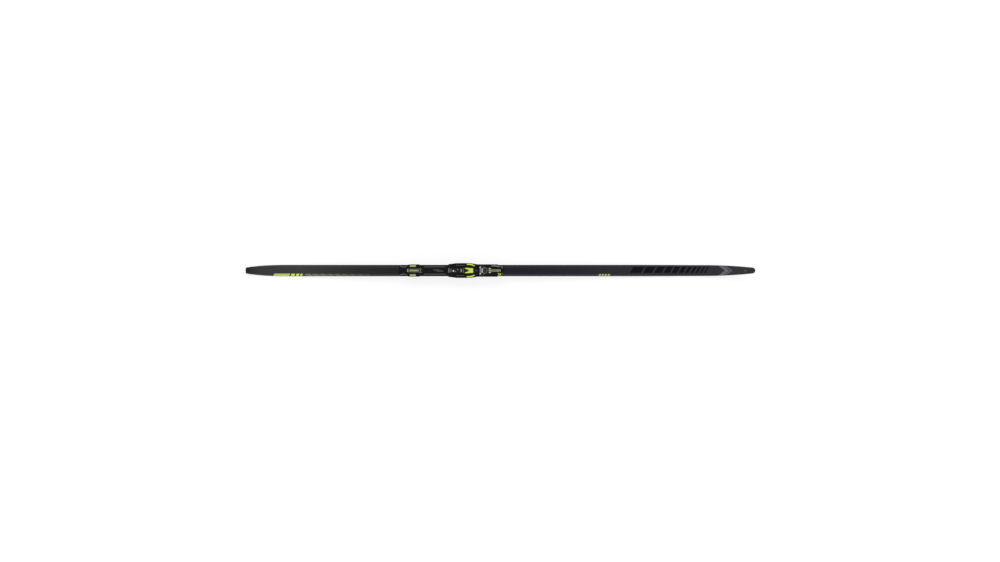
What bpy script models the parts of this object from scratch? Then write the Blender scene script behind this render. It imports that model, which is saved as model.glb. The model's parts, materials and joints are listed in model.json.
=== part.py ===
"""Cross country ski with a two-piece binding that slides on a bonded plate.

Frame: +X runs towards the tip, +Y to the skier's left, +Z up. The origin is on the floor under the
middle of the ski's length. All sizes are in metres.
"""

import math

import bmesh
import bpy
from mathutils import Matrix, Vector

# Clearances; a cutter runs out by OVER past the face it opens, and a joined piece sinks in by BITE
GAP = 0.0003
RUN = 0.0003
SNUG = 0.0002
OVER = 0.002
BITE = 0.001
PAST_SIDES = 0.030

# Ski outline, seen from above
SKI_LENGTH = 1.970
HALF_LENGTH = SKI_LENGTH / 2
WAIST_HALF = 0.0220
FORE_HALF = 0.0210
SIDECUT_START_X = 0.50
SIDECUT_END_X = 0.85
TAIL_TAPER = 0.170
TAIL_END_HALF = 0.0115
TAIL_POWER = 2.6
TAIL_CORNER = 0.0040
TIP_TAPER = 0.190
TIP_END_HALF = 0.0105
TIP_POWER = 2.0

# Ski outline, seen from the side
CAMBER = 0.020
REAR_CONTACT_X = -0.86
ARCH_REAR_X = -0.41
ARCH_FRONT_X = 0.03
FRONT_CONTACT_X = 0.72
TIP_BEND_X = 0.70
TIP_RISE = 0.066
TIP_BEND_POWER = 2.2
TAIL_BEND_X = -0.88
TAIL_RISE = 0.008
MID_THICK = 0.024
TAIL_THICK = 0.0080
TIP_THICK = 0.0070

# Ski layers
BASE_THICK = 0.0012
GROOVE_HALF = 0.0045
GROOVE_DEPTH = 0.0006
LAMINATE = 0.0006
SIDEWALL_WIDE = 0.0035
SIDEWALL_SHARE = 0.50
CAP_THICK = 0.0010
CAP_SHIFT = 0.0013
CAP_RUN_END = 0.0035
CAP_RUN_MID = 0.0080
CAP_LIP = 0.0008
LAYERS_TAIL_X = -0.967
LAYERS_TIP_X = 0.957
CORE_TAIL_X = -0.915
CORE_TIP_X = 0.862
SHOULDER_DROP = 0.30
SHOULDER_REACH = 0.45

# Sections along the ski: their numbers on each stretch, and those of the end caps
TAIL_ROWS_X = -0.85
TAIL_ROWS = 8
REAR_ROWS = 9
FORE_ROWS = 13
TIP_ROWS = 14
ROW_MARGIN = 0.002
TIP_CAP_ROWS = (GAP, 0.006, 0.012)
TIP_CAP_TURNS = (0, 20, 38, 54, 68, 80)
TAIL_CAP_ROWS = (0.008, GAP)
TAIL_CAP_TURNS = (90, 60, 30, 0)
END_SECTION_HALF = 0.0075
END_POINT_HALF = 0.0006

# Heights of the binding
SKI_TOP = CAMBER + MID_THICK
PLATE_LOW = SKI_TOP + GAP
FLANGE_LOW = PLATE_LOW + 0.0027
FLANGE_TOP = FLANGE_LOW + 0.0030
CHASSIS_LOW = PLATE_LOW + 0.0004
CHASSIS_TOP = FLANGE_TOP + 0.0040
COVER_LOW = CHASSIS_TOP + GAP
SOLE = COVER_LOW + 0.0027
RIDGE_TOP = SOLE + 0.0030

# Binding plate
PLATE_REAR_X = -0.3770
PLATE_FRONT_X = -0.0060
PEDESTAL_HALF = 0.0165
FLANGE_HALF = 0.0195
FLANGE_SLOPE = 0.0004
RACK_PITCH = 0.0040
RACK_SLOT = 0.0022
RACK_DEEP = 0.0010
RACK_HALF = 0.0070
TOE_RACK_X = -0.1440
HEEL_RACK_X = -0.3520
RACK_COUNT = 10

# Toe unit
TOE_REAR_X = -0.1995
TOE_FRONT_X = 0.0118
TOE_HALF = 0.0215
NOSE_HALF = 0.0240
TOE_CHANNEL_END_X = PLATE_FRONT_X + 0.0012
TOE_SHAFT_X = (-0.1400, -0.0995)
PLATFORM_FRONT_X = -0.0848
PLATFORM_WALL = 0.0022
PLATFORM_EDGE = 0.0012
PLATFORM_FRONT_ROOM_X = (-0.1010, -0.0800)
PLATFORM_REAR_ROOM_X = (-0.2100, -0.1900)
SKIRT_LOW = CHASSIS_LOW + 0.0018
TOE_WINDOW_X = (-0.1392, -0.0990)
TOE_WINDOW_HALF = 0.0119
TOE_WINDOW_CORNER = 0.002
RIDGE_INNER = 0.0124
RIDGE_OUTER = 0.0158
RIDGE_RAMP = 0.0040
TOE_RIDGE_REAR_X = -0.1970
TOE_RIDGE_FRONT_X = -0.1000
PAD_REAR_X = -0.1955
PAD_FRONT_X = -0.1435
PAD_HALF = 0.0115
PAD_CORNER = 0.003
PAD_LOW = SOLE - 0.0005
PAD_TOP = SOLE + 0.0009
PAD_EDGE = 0.0004
PLUG_X = -0.0915
PLUG_RADIUS = 0.0052
PLUG_LOW = SOLE - 0.0007
PLUG_TOP = SOLE + 0.0010
WING_REAR_X = -0.1295
WING_FRONT_X = -0.0960
WING_LOW = SOLE - 0.0013
WING_TOP = SOLE + 0.0018
WING_EDGE = 0.0008

# Jaws and bar slot
BAR_X = -0.0660
SLOT_HALF = 0.0024
JAW_HALF = 0.0096
JAW_REAR_X = -0.0785
JAW_CREST_X = -0.0705
JAW_LOW = CHASSIS_TOP + 0.0026
JAW_TOP = JAW_LOW + 0.0058
JAW_BLUNT = 0.0010
JAW_SINK = 0.0006
LIP_LOW = JAW_TOP - 0.0015
LIP_GAP_HALF = 0.0006
HOOK_THICK = 0.0021
HOOK_CHAMFER = 0.0006
JAW_RAIL_REAR_X = -0.0845
JAW_RAIL_INNER = 0.0195
JAW_RAIL_OUTER = NOSE_HALF - 0.0004
JAW_RAIL_TOP = CHASSIS_TOP + 0.0021
SLIDER_HALF = 0.0075
SLIDER_PLATE_HALF = 0.0110
SLIDER_LOW = CHASSIS_TOP + GAP
SLIDER_TOP = SLIDER_LOW + 0.0014
SLIDER_NECK_X = -0.0718
SLIDER_NECK_LOW = SLIDER_LOW + 0.0004
EAR_FLOOR = CHASSIS_TOP - 0.0010
EAR_LOW = EAR_FLOOR + SNUG
EAR_TOP = EAR_LOW + 0.0011
EAR_REAR_X = -0.0795
EAR_FRONT_X = -0.0560
EAR_INNER = 0.0079
EAR_OUTER = 0.0190
EAR_CORNER = 0.002
EAR_ROOM = 0.0010
SCREW_X = -0.0678
SCREW_Y = 0.0144
SCREW_HEAD = 0.0044
SCREW_HEAD_LOW = EAR_TOP + SNUG
SCREW_HEAD_TOP = SCREW_HEAD_LOW + 0.0016
SCREW_SHANK = 0.0015
SCREW_SHANK_TOP = SCREW_HEAD_LOW + 0.0005
SCREW_SOCKET = 0.0024
SCREW_SOCKET_LOW = SCREW_HEAD_LOW + 0.0006
SCREW_HOLE_LOW = FLANGE_TOP + 0.0006

# Nose, flexor and lever
NOSE_REAR_X = -0.0610
NOSE_TOP = CHASSIS_TOP + 0.0046
NOSE_EDGE = 0.0014
SLIDER_ROOM_FRONT_X = -0.0225
SLIDER_ROOM_HALF = 0.0120
SLIDER_ROOM_TOP = SLIDER_TOP + 0.0006
FLEX_REAR_X = -0.0607
FLEX_BEND_X = FLEX_REAR_X + 0.0050
FLEX_FRONT_X = -0.0492
FLEX_HALF = 0.0132
FLEX_FRONT_HALF = 0.0085
FLEX_LOW = SLIDER_TOP + 0.0012
FLEX_TOP = NOSE_TOP + 0.0052
FLEX_EDGE = 0.0009
FOOT_FRONT_X = FLEX_FRONT_X + 0.0014
FOOT_HALF = FLEX_HALF + 0.0016
FOOT_LOW = SLIDER_TOP + 0.0004
FOOT_TOP = SLIDER_TOP + 0.0018
FOOT_CORNER = 0.003
FOOT_ROOM_FRONT_X = FOOT_FRONT_X + 0.0006
FOOT_ROOM_HALF = FOOT_HALF + 0.0005
FOOT_ROOM_TOP = FOOT_TOP + 0.0004
WELL_X = (-0.0582, -0.0522)
WELL_HALF = 0.0062
WELL_DEEP = 0.0040
WELL_CORNER = 0.0015
PIVOT_X = -0.0360
SHAFT_RADIUS = 0.0060
BUSH_RADIUS = 0.0075
BUSH_LOW = SLIDER_TOP + 0.0014
HUB_RADIUS = 0.0124
HUB_TURN = math.radians(16)
HUB_STEPS = 18
LEVER_LOW = NOSE_TOP + GAP
LEVER_TOP = LEVER_LOW + 0.0036
LEVER_END_X = 0.0040
LEVER_EDGE = 0.0006
NECK_HALF = 0.0060
NECK_START = 0.45
NECK_END_ROUND = 0.60
THROAT_CORNER = 0.006
INLAY_TOP = LEVER_TOP + 0.0016
INLAY_EDGE = 0.0005
LEVER_HEAD = 0.0034
LEVER_SHANK = 0.0014
LEVER_SEAT_LOW = LEVER_TOP - 0.0020
LEVER_SCREW_ROOM = 0.0004
CAM_LOW = SLIDER_TOP + 0.0006
CAM_ARM = 0.0040
CAM_ANGLE = math.radians(-50)
CAM_PIN = 0.0024
CAM_PIN_TOP = CAM_LOW + 0.0004
CAM_THREAD_LOW = CAM_LOW + 0.0005
CAM_WAY_HALF = 0.0078
CAM_WAY_ROOM = 0.00035

# Latches
LATCH_LOW = COVER_LOW + 0.0006
LATCH_EDGE = 0.0006
LATCH_PIN_RADIUS = 0.0012
LATCH_PIN_Z = CHASSIS_TOP + 0.0014
PIN_END_ROOM = 0.0004
LUG_RADIUS = 0.0026
LUG_SIDE = 0.0004
PAWL_LOW = FLANGE_TOP + 0.0004
PAWL_HALF = 0.0060
SPRING_WIRE = 0.0003
SPRING_TURNS = 4
SPRING_TURN_STEPS = 12
SPRING_ROOM_HALF = 0.0030
SPRING_ROOM_REAR = 0.0031
SPRING_ROOM_FRONT = 0.0050
SPRING_ROOM_TOP = LATCH_PIN_Z + 0.0027
TOE_LATCH_PIN_X = -0.1050
TOE_LATCH_TOP = SOLE + 0.0020
TOE_PAWL_X = (-0.1290, -0.1200)
TOE_PIN_REACH = 0.0148
HEEL_LATCH_PIN_X = -0.3070
HEEL_LATCH_TOP = SOLE + 0.0022
HEEL_PAWL_X = (-0.3360, -0.3270)
HEEL_PIN_REACH = 0.0116

# Heel unit
HEEL_REAR_X = -0.3900
HEEL_FRONT_X = -0.2030
HEEL_WIDE_HALF = 0.0238
HEEL_CHANNEL_END_X = PLATE_REAR_X - 0.0012
HEEL_SHAFT_X = (-0.3400, -0.2995)
HEEL_SHAFT_HALF = 0.0098
TAIL_SLOPE_START_X = -0.4000
TAIL_SLOPE_END_X = -0.3640
TAIL_SLOPE_DROP = 0.0022
TAIL_SLOPE_RUN_OUT = 0.0004
FIN_LOW = CHASSIS_TOP - 0.0030
FIN_TOP = CHASSIS_TOP + 0.0012
HEEL_COVER_REAR_X = -0.3585
HEEL_COVER_EDGE = 0.0009
HEEL_RIDGE_REAR_X = -0.2990
HEEL_RIDGE_FRONT_X = -0.2055
HEEL_PAD_REAR_X = -0.3488
HEEL_PAD_FRONT_X = -0.3240
HEEL_PAD_INNER = 0.0134
HEEL_PAD_OUTER = 0.0241
HEEL_PAD_TOP = SOLE + 0.0016
HEEL_PAD_CORNER = 0.002
HEEL_PAD_EDGE = 0.0008

# Outlines of the left half, from rear to front: place along the ski, half width, corner radius
TOE_CORNERS = (
    (TOE_REAR_X, TOE_HALF, 0.003),
    (-0.0990, TOE_HALF, 0.004),
    (-0.0900, NOSE_HALF, 0.004),
    (-0.0120, NOSE_HALF, 0.010),
    (TOE_FRONT_X, 0.0165, 0.008),
)
NOSE_CORNERS = ((NOSE_REAR_X, NOSE_HALF, 0.003), *TOE_CORNERS[-2:])
PLATFORM_CORNERS = (
    (TOE_REAR_X - 0.0010, 0.0240, 0.003),
    (-0.1940, 0.0252, 0.006),
    (-0.1690, 0.0285, 0.016),
    (-0.1180, 0.0288, 0.012),
    (-0.1010, 0.0266, 0.010),
    (PLATFORM_FRONT_X, 0.0236, 0.003),
)
WING_INNER = (
    (WING_REAR_X, 0.0205, 0.002),
    (-0.1130, 0.0198, 0.012),
    (WING_FRONT_X, 0.0146, 0.001),
)
WING_OUTER = (
    (WING_FRONT_X, 0.0192, 0.002),
    (-0.1080, 0.0283, 0.010),
    (WING_REAR_X, 0.0292, 0.003),
)
SLIDER_CORNERS = (
    (-0.0725, SLIDER_HALF, 0.001),
    (-0.0470, SLIDER_HALF, 0.001),
    (-0.0440, SLIDER_PLATE_HALF, 0.002),
    (-0.0265, SLIDER_PLATE_HALF, 0.003),
)
INLAY_CORNERS = (
    (-0.0440, 0.0104, 0.002),
    (-0.0395, 0.0104, 0.002),
    (-0.0300, 0.0050, 0.006),
    (0.0030, 0.0048, 0.002),
)
TOE_LATCH_NOTCH = (-0.1225, 0.0, 0.002)
TOE_LATCH_CORNERS = (
    (-0.1375, 0.0062, 0.001),
    (-0.1375, 0.0108, 0.002),
    (-0.1270, 0.0112, 0.010),
    (-0.1016, 0.0092, 0.0025),
)
HEEL_LATCH_CORNERS = (
    (-0.3590, 0.0062, 0.002),
    (-0.3540, 0.0068, 0.003),
    (-0.3150, 0.0068, 0.006),
    (-0.3032, 0.0088, 0.002),
    (-0.3032, 0.0034, 0.001),
    (-0.3125, 0.0034, 0.002),
)
HEEL_CORNERS = (
    (HEEL_REAR_X, 0.0175, 0.004),
    (-0.3780, TOE_HALF, 0.006),
    (-0.3560, TOE_HALF, 0.003),
    (-0.3520, HEEL_WIDE_HALF, 0.002),
    (-0.3130, HEEL_WIDE_HALF, 0.003),
    (-0.3070, TOE_HALF, 0.003),
    (HEEL_FRONT_X, TOE_HALF, 0.002),
)
HEEL_COVER_CORNERS = (
    (HEEL_COVER_REAR_X, 0.0100, 0.002),
    (-0.3520, 0.0150, 0.004),
    (-0.3500, HEEL_WIDE_HALF, 0.002),
    (-0.3130, HEEL_WIDE_HALF, 0.003),
    (-0.3070, TOE_HALF, 0.003),
    (HEEL_FRONT_X - 0.0004, TOE_HALF, 0.002),
)
HEEL_WINDOW_CORNERS = (
    (-0.3700, 0.0073, 0),
    (-0.3165, 0.0073, 0.004),
    (-0.3080, 0.0096, 0.004),
    (-0.2996, 0.0096, 0.002),
)
TAIL_FIN_CORNERS = (
    (-0.3875, 0.0166),
    (-0.3690, 0.0122),
    (-0.3590, 0.0165),
    (-0.3590, 0.0195),
    (-0.3760, 0.0195),
)

# Finishes: colour, roughness, metallic
FINISHES = {
    "running_base_black": ((0.015, 0.015, 0.017), 0.45, 0.0),
    "fibre_laminate": ((0.060, 0.060, 0.055), 0.60, 0.0),
    "core_wood": ((0.62, 0.47, 0.30), 0.70, 0.0),
    "sidewall_black": ((0.020, 0.020, 0.022), 0.45, 0.0),
    "top_sheet_black": ((0.022, 0.024, 0.028), 0.40, 0.0),
    "end_cap_plastic": ((0.018, 0.018, 0.020), 0.40, 0.0),
    "plate_plastic": ((0.016, 0.016, 0.017), 0.50, 0.0),
    "binding_plastic": ((0.014, 0.014, 0.015), 0.45, 0.0),
    "pad_rubber": ((0.020, 0.020, 0.021), 0.75, 0.0),
    "lime_plastic": ((0.62, 0.76, 0.08), 0.40, 0.0),
    "lime_rubber": ((0.56, 0.66, 0.11), 0.62, 0.0),
    "grey_plastic": ((0.22, 0.23, 0.17), 0.50, 0.0),
    "flexor_rubber": ((0.070, 0.070, 0.075), 0.70, 0.0),
    "jaw_steel": ((0.46, 0.46, 0.47), 0.35, 1.0),
    "pin_steel": ((0.55, 0.55, 0.56), 0.30, 1.0),
    "spring_steel": ((0.45, 0.45, 0.46), 0.35, 1.0),
    "bush_polymer": ((0.30, 0.30, 0.29), 0.50, 0.0),
}

AXES = {
    "X": Matrix(((0, 0, 1, 0), (1, 0, 0, 0), (0, 1, 0, 0), (0, 0, 0, 1))),
    "Y": Matrix(((1, 0, 0, 0), (0, 0, -1, 0), (0, 1, 0, 0), (0, 0, 0, 1))),
    "Z": Matrix.Identity(4),
}


def clear_scene():
    for item in list(bpy.data.objects):
        bpy.data.objects.remove(item)


def make_collections():
    parts = bpy.data.collections.new("cross_country_ski")
    cutters = bpy.data.collections.new("cutters")
    cutters.hide_render = True
    bpy.context.scene.collection.children.link(parts)
    bpy.context.scene.collection.children.link(cutters)
    return parts, cutters


def make_finishes():
    made = {}
    for name, (colour, rough, metal) in FINISHES.items():
        finish = bpy.data.materials.new(name)
        finish.use_nodes = True
        shader = finish.node_tree.nodes["Principled BSDF"]
        shader.inputs["Base Color"].default_value = (*colour, 1.0)
        shader.inputs["Roughness"].default_value = rough
        shader.inputs["Metallic"].default_value = metal
        made[name] = finish
    return made


def make_holder(name, place, parent=None):
    """An empty on a joint's axis that carries the pieces of one moving group."""
    holder = bpy.data.objects.new(name, None)
    PARTS.objects.link(holder)
    holder["place"] = place
    holder.location = Vector(place)
    if parent:
        holder.parent = parent
        holder.location = Vector(place) - Vector(parent["place"])
    return holder


def new_piece(name, mesh, finish, holder):
    """A named piece, or a cutter when no finish is given."""
    piece = bpy.data.objects.new(name, mesh)
    if finish is None:
        CUTTERS.objects.link(piece)
        piece.hide_render = True
        piece.display_type = "WIRE"
        return piece
    mesh.transform(Matrix.Translation(-Vector(holder["place"])))
    mesh.materials.clear()
    mesh.materials.append(MATERIALS[finish])
    PARTS.objects.link(piece)
    piece.parent = holder
    return piece


def mesh_from(shape, name):
    mesh = bpy.data.meshes.new(name)
    bmesh.ops.recalc_face_normals(shape, faces=shape.faces)
    if shape.calc_volume(signed=True) < 0:
        bmesh.ops.reverse_faces(shape, faces=shape.faces)
    for face in shape.faces:
        face.smooth = False
    shape.to_mesh(mesh)
    shape.free()
    return mesh


def prism(name, outline, low, high, axis="Z", finish=None, holder=None, holes=()):
    """A flat outline, with any holes, drawn out along one axis from low to high."""
    curve = bpy.data.curves.new(name, "CURVE")
    curve.dimensions = "2D"
    curve.fill_mode = "BOTH"
    curve.extrude = (high - low) / 2
    for loop in (outline, *holes):
        spline = curve.splines.new("POLY")
        spline.points.add(len(loop) - 1)
        spline.use_cyclic_u = True
        for point, (u, v) in zip(spline.points, loop):
            point.co = (u, v, 0.0, 1.0)
    source = bpy.data.objects.new(name + "_outline", curve)
    CUTTERS.objects.link(source)
    bpy.context.view_layer.update()
    filled = bpy.data.meshes.new_from_object(source.evaluated_get(bpy.context.evaluated_depsgraph_get()))
    bpy.data.objects.remove(source)
    shape = bmesh.new()
    shape.from_mesh(filled)
    bmesh.ops.remove_doubles(shape, verts=shape.verts, dist=1e-6)
    bmesh.ops.dissolve_limit(
        shape, angle_limit=math.radians(0.5), verts=shape.verts, edges=shape.edges
    )
    middle = (low + high) / 2
    if axis == "Y":
        middle = -middle
    shape.transform(AXES[axis] @ Matrix.Translation((0, 0, middle)))
    return new_piece(name, mesh_from(shape, name), finish, holder)


def box(name, x, y, z, finish=None, holder=None):
    """A block between three pairs of limits."""
    shape = bmesh.new()
    bmesh.ops.create_cube(shape, size=1.0)
    size = Matrix.Diagonal((x[1] - x[0], y[1] - y[0], z[1] - z[0], 1.0))
    centre = Matrix.Translation(((x[0] + x[1]) / 2, (y[0] + y[1]) / 2, (z[0] + z[1]) / 2))
    shape.transform(centre @ size)
    return new_piece(name, mesh_from(shape, name), finish, holder)


def rod(name, radius, low, high, centre, axis="Z", finish=None, holder=None, sides=20):
    """A cylinder along one axis; centre holds its place across that axis."""
    shape = bmesh.new()
    bmesh.ops.create_cone(
        shape, cap_ends=True, segments=sides, radius1=radius, radius2=radius, depth=high - low
    )
    middle = (low + high) / 2
    if axis == "Y":
        middle = -middle
    shape.transform(AXES[axis] @ Matrix.Translation((*centre, middle)))
    return new_piece(name, mesh_from(shape, name), finish, holder)


def loft(name, sections, finish, holder):
    """A closed skin through a row of sections that have the same number of points."""
    shape = bmesh.new()
    rings = [[shape.verts.new(point) for point in section] for section in sections]
    count = len(rings[0])
    for near, far in zip(rings, rings[1:]):
        for i in range(count):
            j = (i + 1) % count
            shape.faces.new((near[i], near[j], far[j], far[i]))
    shape.faces.new(rings[0])
    shape.faces.new(rings[-1])
    return new_piece(name, mesh_from(shape, name), finish, holder)


def boolean(target, other, operation):
    step = target.modifiers.new(other.name, "BOOLEAN")
    step.operation = operation
    step.solver = "EXACT"
    step.object = other


def cut(target, *cutters):
    for cutter in cutters:
        boolean(target, cutter, "DIFFERENCE")


def join(target, *others):
    for other in others:
        boolean(target, other, "UNION")


def soften(piece, width, segments=1, angle=50):
    step = piece.modifiers.new("soft_edges", "BEVEL")
    step.width = width
    step.segments = segments
    step.limit_method = "ANGLE"
    step.angle_limit = math.radians(angle)
    step.use_clamp_overlap = True


def fillet(corners, steps=3):
    """An outline through corners (x, y, radius), each rounded by an arc of its radius."""
    outline = []
    count = len(corners)
    for i, (x, y, radius) in enumerate(corners):
        here = Vector((x, y))
        if radius <= 0:
            outline.append((x, y))
            continue
        back = (Vector(corners[i - 1][:2]) - here).normalized()
        ahead = (Vector(corners[(i + 1) % count][:2]) - here).normalized()
        half = back.angle(ahead) / 2
        centre = here + (back + ahead).normalized() * (radius / math.sin(half))
        first = here + back * (radius / math.tan(half)) - centre
        last = here + ahead * (radius / math.tan(half)) - centre
        turn = first.angle_signed(last)
        for k in range(steps + 1):
            bent = first.copy()
            bent.rotate(Matrix.Rotation(-turn * k / steps, 2))
            outline.append(tuple(centre + bent))
    return outline


def both_sides(half):
    """A full outline from its left half, given from rear to front."""
    return [*half, *mirrored(half)]


def mirrored(corners):
    """The same corners on the right-hand side, kept in turning order."""
    return [(x, -y, radius) for x, y, radius in reversed(corners)]


def drawn_in(corners, inset, rear_inset):
    """The corners of a left half with its side and its two ends drawn in."""
    moved = [(x, half - inset, radius) for x, half, radius in corners]
    moved[0] = (corners[0][0] + rear_inset, *moved[0][1:])
    moved[-1] = (corners[-1][0] - inset, *moved[-1][1:])
    return moved


def on_side(sign, inner, outer):
    """Limits across the ski on its left (1) or right (-1) side."""
    return tuple(sorted((sign * inner, sign * outer)))


def rounded_box(x, y, radius):
    return fillet([(x[0], y[0], radius), (x[1], y[0], radius), (x[1], y[1], radius), (x[0], y[1], radius)])


def smooth_step(share):
    share = min(max(share, 0.0), 1.0)
    return share * share * (3 - 2 * share)


def spread(first, last, count):
    return [first + (last - first) * i / count for i in range(count)]


def half_width(x):
    """Half of the ski's width at one place along it."""
    to_tail = x + HALF_LENGTH
    to_tip = HALF_LENGTH - x
    narrowing = smooth_step((x - SIDECUT_START_X) / (SIDECUT_END_X - SIDECUT_START_X))
    width = WAIST_HALF - (WAIST_HALF - FORE_HALF) * narrowing
    width -= (WAIST_HALF - TAIL_END_HALF) * max(0.0, 1 - to_tail / TAIL_TAPER) ** TAIL_POWER
    width -= (FORE_HALF - TIP_END_HALF) * max(0.0, 1 - to_tip / TIP_TAPER) ** TIP_POWER
    return width


def base_height(x):
    """Height of the running surface: camber, upturned tip and slight upturn of the tail."""
    rear = smooth_step((x - REAR_CONTACT_X) / (ARCH_REAR_X - REAR_CONTACT_X))
    front = smooth_step((FRONT_CONTACT_X - x) / (FRONT_CONTACT_X - ARCH_FRONT_X))
    tip = max(0.0, (x - TIP_BEND_X) / (HALF_LENGTH - TIP_BEND_X)) ** TIP_BEND_POWER
    tail = max(0.0, (TAIL_BEND_X - x) / (TAIL_BEND_X + HALF_LENGTH)) ** 2
    return CAMBER * min(rear, front) + TIP_RISE * tip + TAIL_RISE * tail


def thickness(x):
    rear = smooth_step((x + HALF_LENGTH) / (ARCH_REAR_X + HALF_LENGTH))
    front = smooth_step((HALF_LENGTH - x) / (HALF_LENGTH - ARCH_FRONT_X))
    if rear < front:
        return TAIL_THICK + (MID_THICK - TAIL_THICK) * rear
    return TIP_THICK + (MID_THICK - TIP_THICK) * front


def cap_run(thick):
    share = (thick - TIP_THICK) / (MID_THICK - TIP_THICK)
    return CAP_RUN_END + (CAP_RUN_MID - CAP_RUN_END) * share


def stations(first, last):
    """Places along the ski where sections are drawn, shared by every layer."""
    rows = spread(LAYERS_TAIL_X, TAIL_ROWS_X, TAIL_ROWS)
    rows += spread(TAIL_ROWS_X, ARCH_REAR_X, REAR_ROWS) + [ARCH_REAR_X]
    rows += spread(ARCH_FRONT_X, TIP_BEND_X, FORE_ROWS)
    rows += spread(TIP_BEND_X, LAYERS_TIP_X, TIP_ROWS) + [LAYERS_TIP_X]
    return [first] + [x for x in rows if first + ROW_MARGIN < x < last - ROW_MARGIN] + [last]


def section_both(points):
    """A closed section from its right half, listed from the bottom up, mirrored to the left."""
    return points + [(-y, z) for y, z in reversed(points)]


def along_ski(section, first, last):
    rows = []
    for x in stations(first, last):
        low = base_height(x)
        rows.append([(x, y, low + z) for y, z in section(half_width(x), thickness(x))])
    return rows


def base_section(half, thick):
    return section_both(
        [(GROOVE_HALF, GROOVE_DEPTH), (GROOVE_HALF, 0.0), (half, 0.0), (half, BASE_THICK)]
    )


def laminate_section(half, thick):
    low = BASE_THICK + GAP
    return section_both([(half - GAP, low), (half - GAP, low + LAMINATE)])


def sidewall_section(half, thick):
    low = BASE_THICK + LAMINATE + 2 * GAP
    high = thick * SIDEWALL_SHARE
    inner = half - SIDEWALL_WIDE
    return [(inner, low), (half, low), (half, high), (inner, high)]


def right_sidewall_section(half, thick):
    return [(-y, z) for y, z in reversed(sidewall_section(half, thick))]


def cap_inner(half, thick, z):
    """Half width of the space under the cap at one height."""
    low = thick * SIDEWALL_SHARE
    return half - CAP_SHIFT - cap_run(thick) * (z - low) / (thick - low)


def cap_outer(half, thick):
    """Right half of the cap's outside: a short lip, a slanted side and a rounded shoulder."""
    low = thick * SIDEWALL_SHARE + GAP
    side = Vector((half, low + CAP_LIP))
    corner = Vector((half - cap_run(thick), thick))
    onto_side = corner.lerp(side, SHOULDER_DROP)
    onto_top = Vector((corner.x - cap_run(thick) * SHOULDER_REACH, thick))
    shoulder = onto_side * 0.25 + corner * 0.5 + onto_top * 0.25
    return [(half, low), tuple(side), tuple(onto_side), tuple(shoulder), tuple(onto_top)]


def cap_section(half, thick):
    low = thick * SIDEWALL_SHARE + GAP
    under = thick - CAP_THICK
    inside = [(cap_inner(half, thick, under), under), (half - CAP_SHIFT, low)]
    return section_both(inside + cap_outer(half, thick))


def top_laminate_section(half, thick):
    high = thick - CAP_THICK - GAP
    wide = cap_inner(half, thick, high) - 2 * GAP
    return section_both([(wide, high - LAMINATE), (wide, high)])


def core_section(half, thick):
    low = BASE_THICK + LAMINATE + 2 * GAP
    high = thick - CAP_THICK - LAMINATE - 2 * GAP
    wide = half - SIDEWALL_WIDE - GAP
    margin = 2 * GAP
    side_top = thick * SIDEWALL_SHARE
    rise = (half - CAP_SHIFT - margin - wide) / cap_run(thick) * (thick - side_top)
    bend = min(side_top + rise, high - margin)
    top = min(wide, cap_inner(half, thick, high) - margin)
    return section_both([(wide, low), (wide, bend), (top, high)])


def cap_end_section(half, thick):
    """The whole outside of the ski, for the solid end pieces."""
    return section_both([(half, 0.0)] + cap_outer(half, thick))


def end_row(x, half):
    low = base_height(x)
    thick = thickness(x)
    squeeze = min(1.0, half / END_SECTION_HALF)
    rows = []
    for y, z in cap_end_section(max(half, END_SECTION_HALF), thick):
        rows.append((x, y * squeeze, low + z))
    return rows


def build_ski():
    first = LAYERS_TAIL_X
    last = LAYERS_TIP_X
    loft("running_base", along_ski(base_section, first, last), "running_base_black", SKI)
    loft("base_laminate", along_ski(laminate_section, first, last), "fibre_laminate", SKI)
    loft("left_sidewall", along_ski(sidewall_section, first, last), "sidewall_black", SKI)
    loft("right_sidewall", along_ski(right_sidewall_section, first, last), "sidewall_black", SKI)
    loft("core", along_ski(core_section, CORE_TAIL_X, CORE_TIP_X), "core_wood", SKI)
    loft("tail_spacer", along_ski(core_section, first, CORE_TAIL_X - GAP), "end_cap_plastic", SKI)
    loft("tip_spacer", along_ski(core_section, CORE_TIP_X + GAP, last), "end_cap_plastic", SKI)
    loft("top_laminate", along_ski(top_laminate_section, first, last), "fibre_laminate", SKI)
    loft("top_sheet", along_ski(cap_section, first, last), "top_sheet_black", SKI)

    tip_rows = []
    round_x = HALF_LENGTH - TIP_END_HALF
    for past in TIP_CAP_ROWS:
        x = last + past
        tip_rows.append(end_row(x, half_width(x)))
    for degrees in TIP_CAP_TURNS:
        angle = math.radians(degrees)
        x = round_x + TIP_END_HALF * math.sin(angle)
        tip_rows.append(end_row(x, half_width(x) * math.cos(angle)))
    tip_rows.append(end_row(HALF_LENGTH, END_POINT_HALF))
    loft("tip_protector", tip_rows, "end_cap_plastic", SKI)

    tail_rows = []
    square_x = -HALF_LENGTH + TAIL_CORNER
    for degrees in TAIL_CAP_TURNS:
        angle = math.radians(degrees)
        x = square_x - TAIL_CORNER * math.sin(angle)
        tail_rows.append(end_row(x, half_width(x) - TAIL_CORNER * (1 - math.cos(angle))))
    for past in TAIL_CAP_ROWS:
        x = first - past
        tail_rows.append(end_row(x, half_width(x)))
    loft("tail_protector", tail_rows, "end_cap_plastic", SKI)


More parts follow.
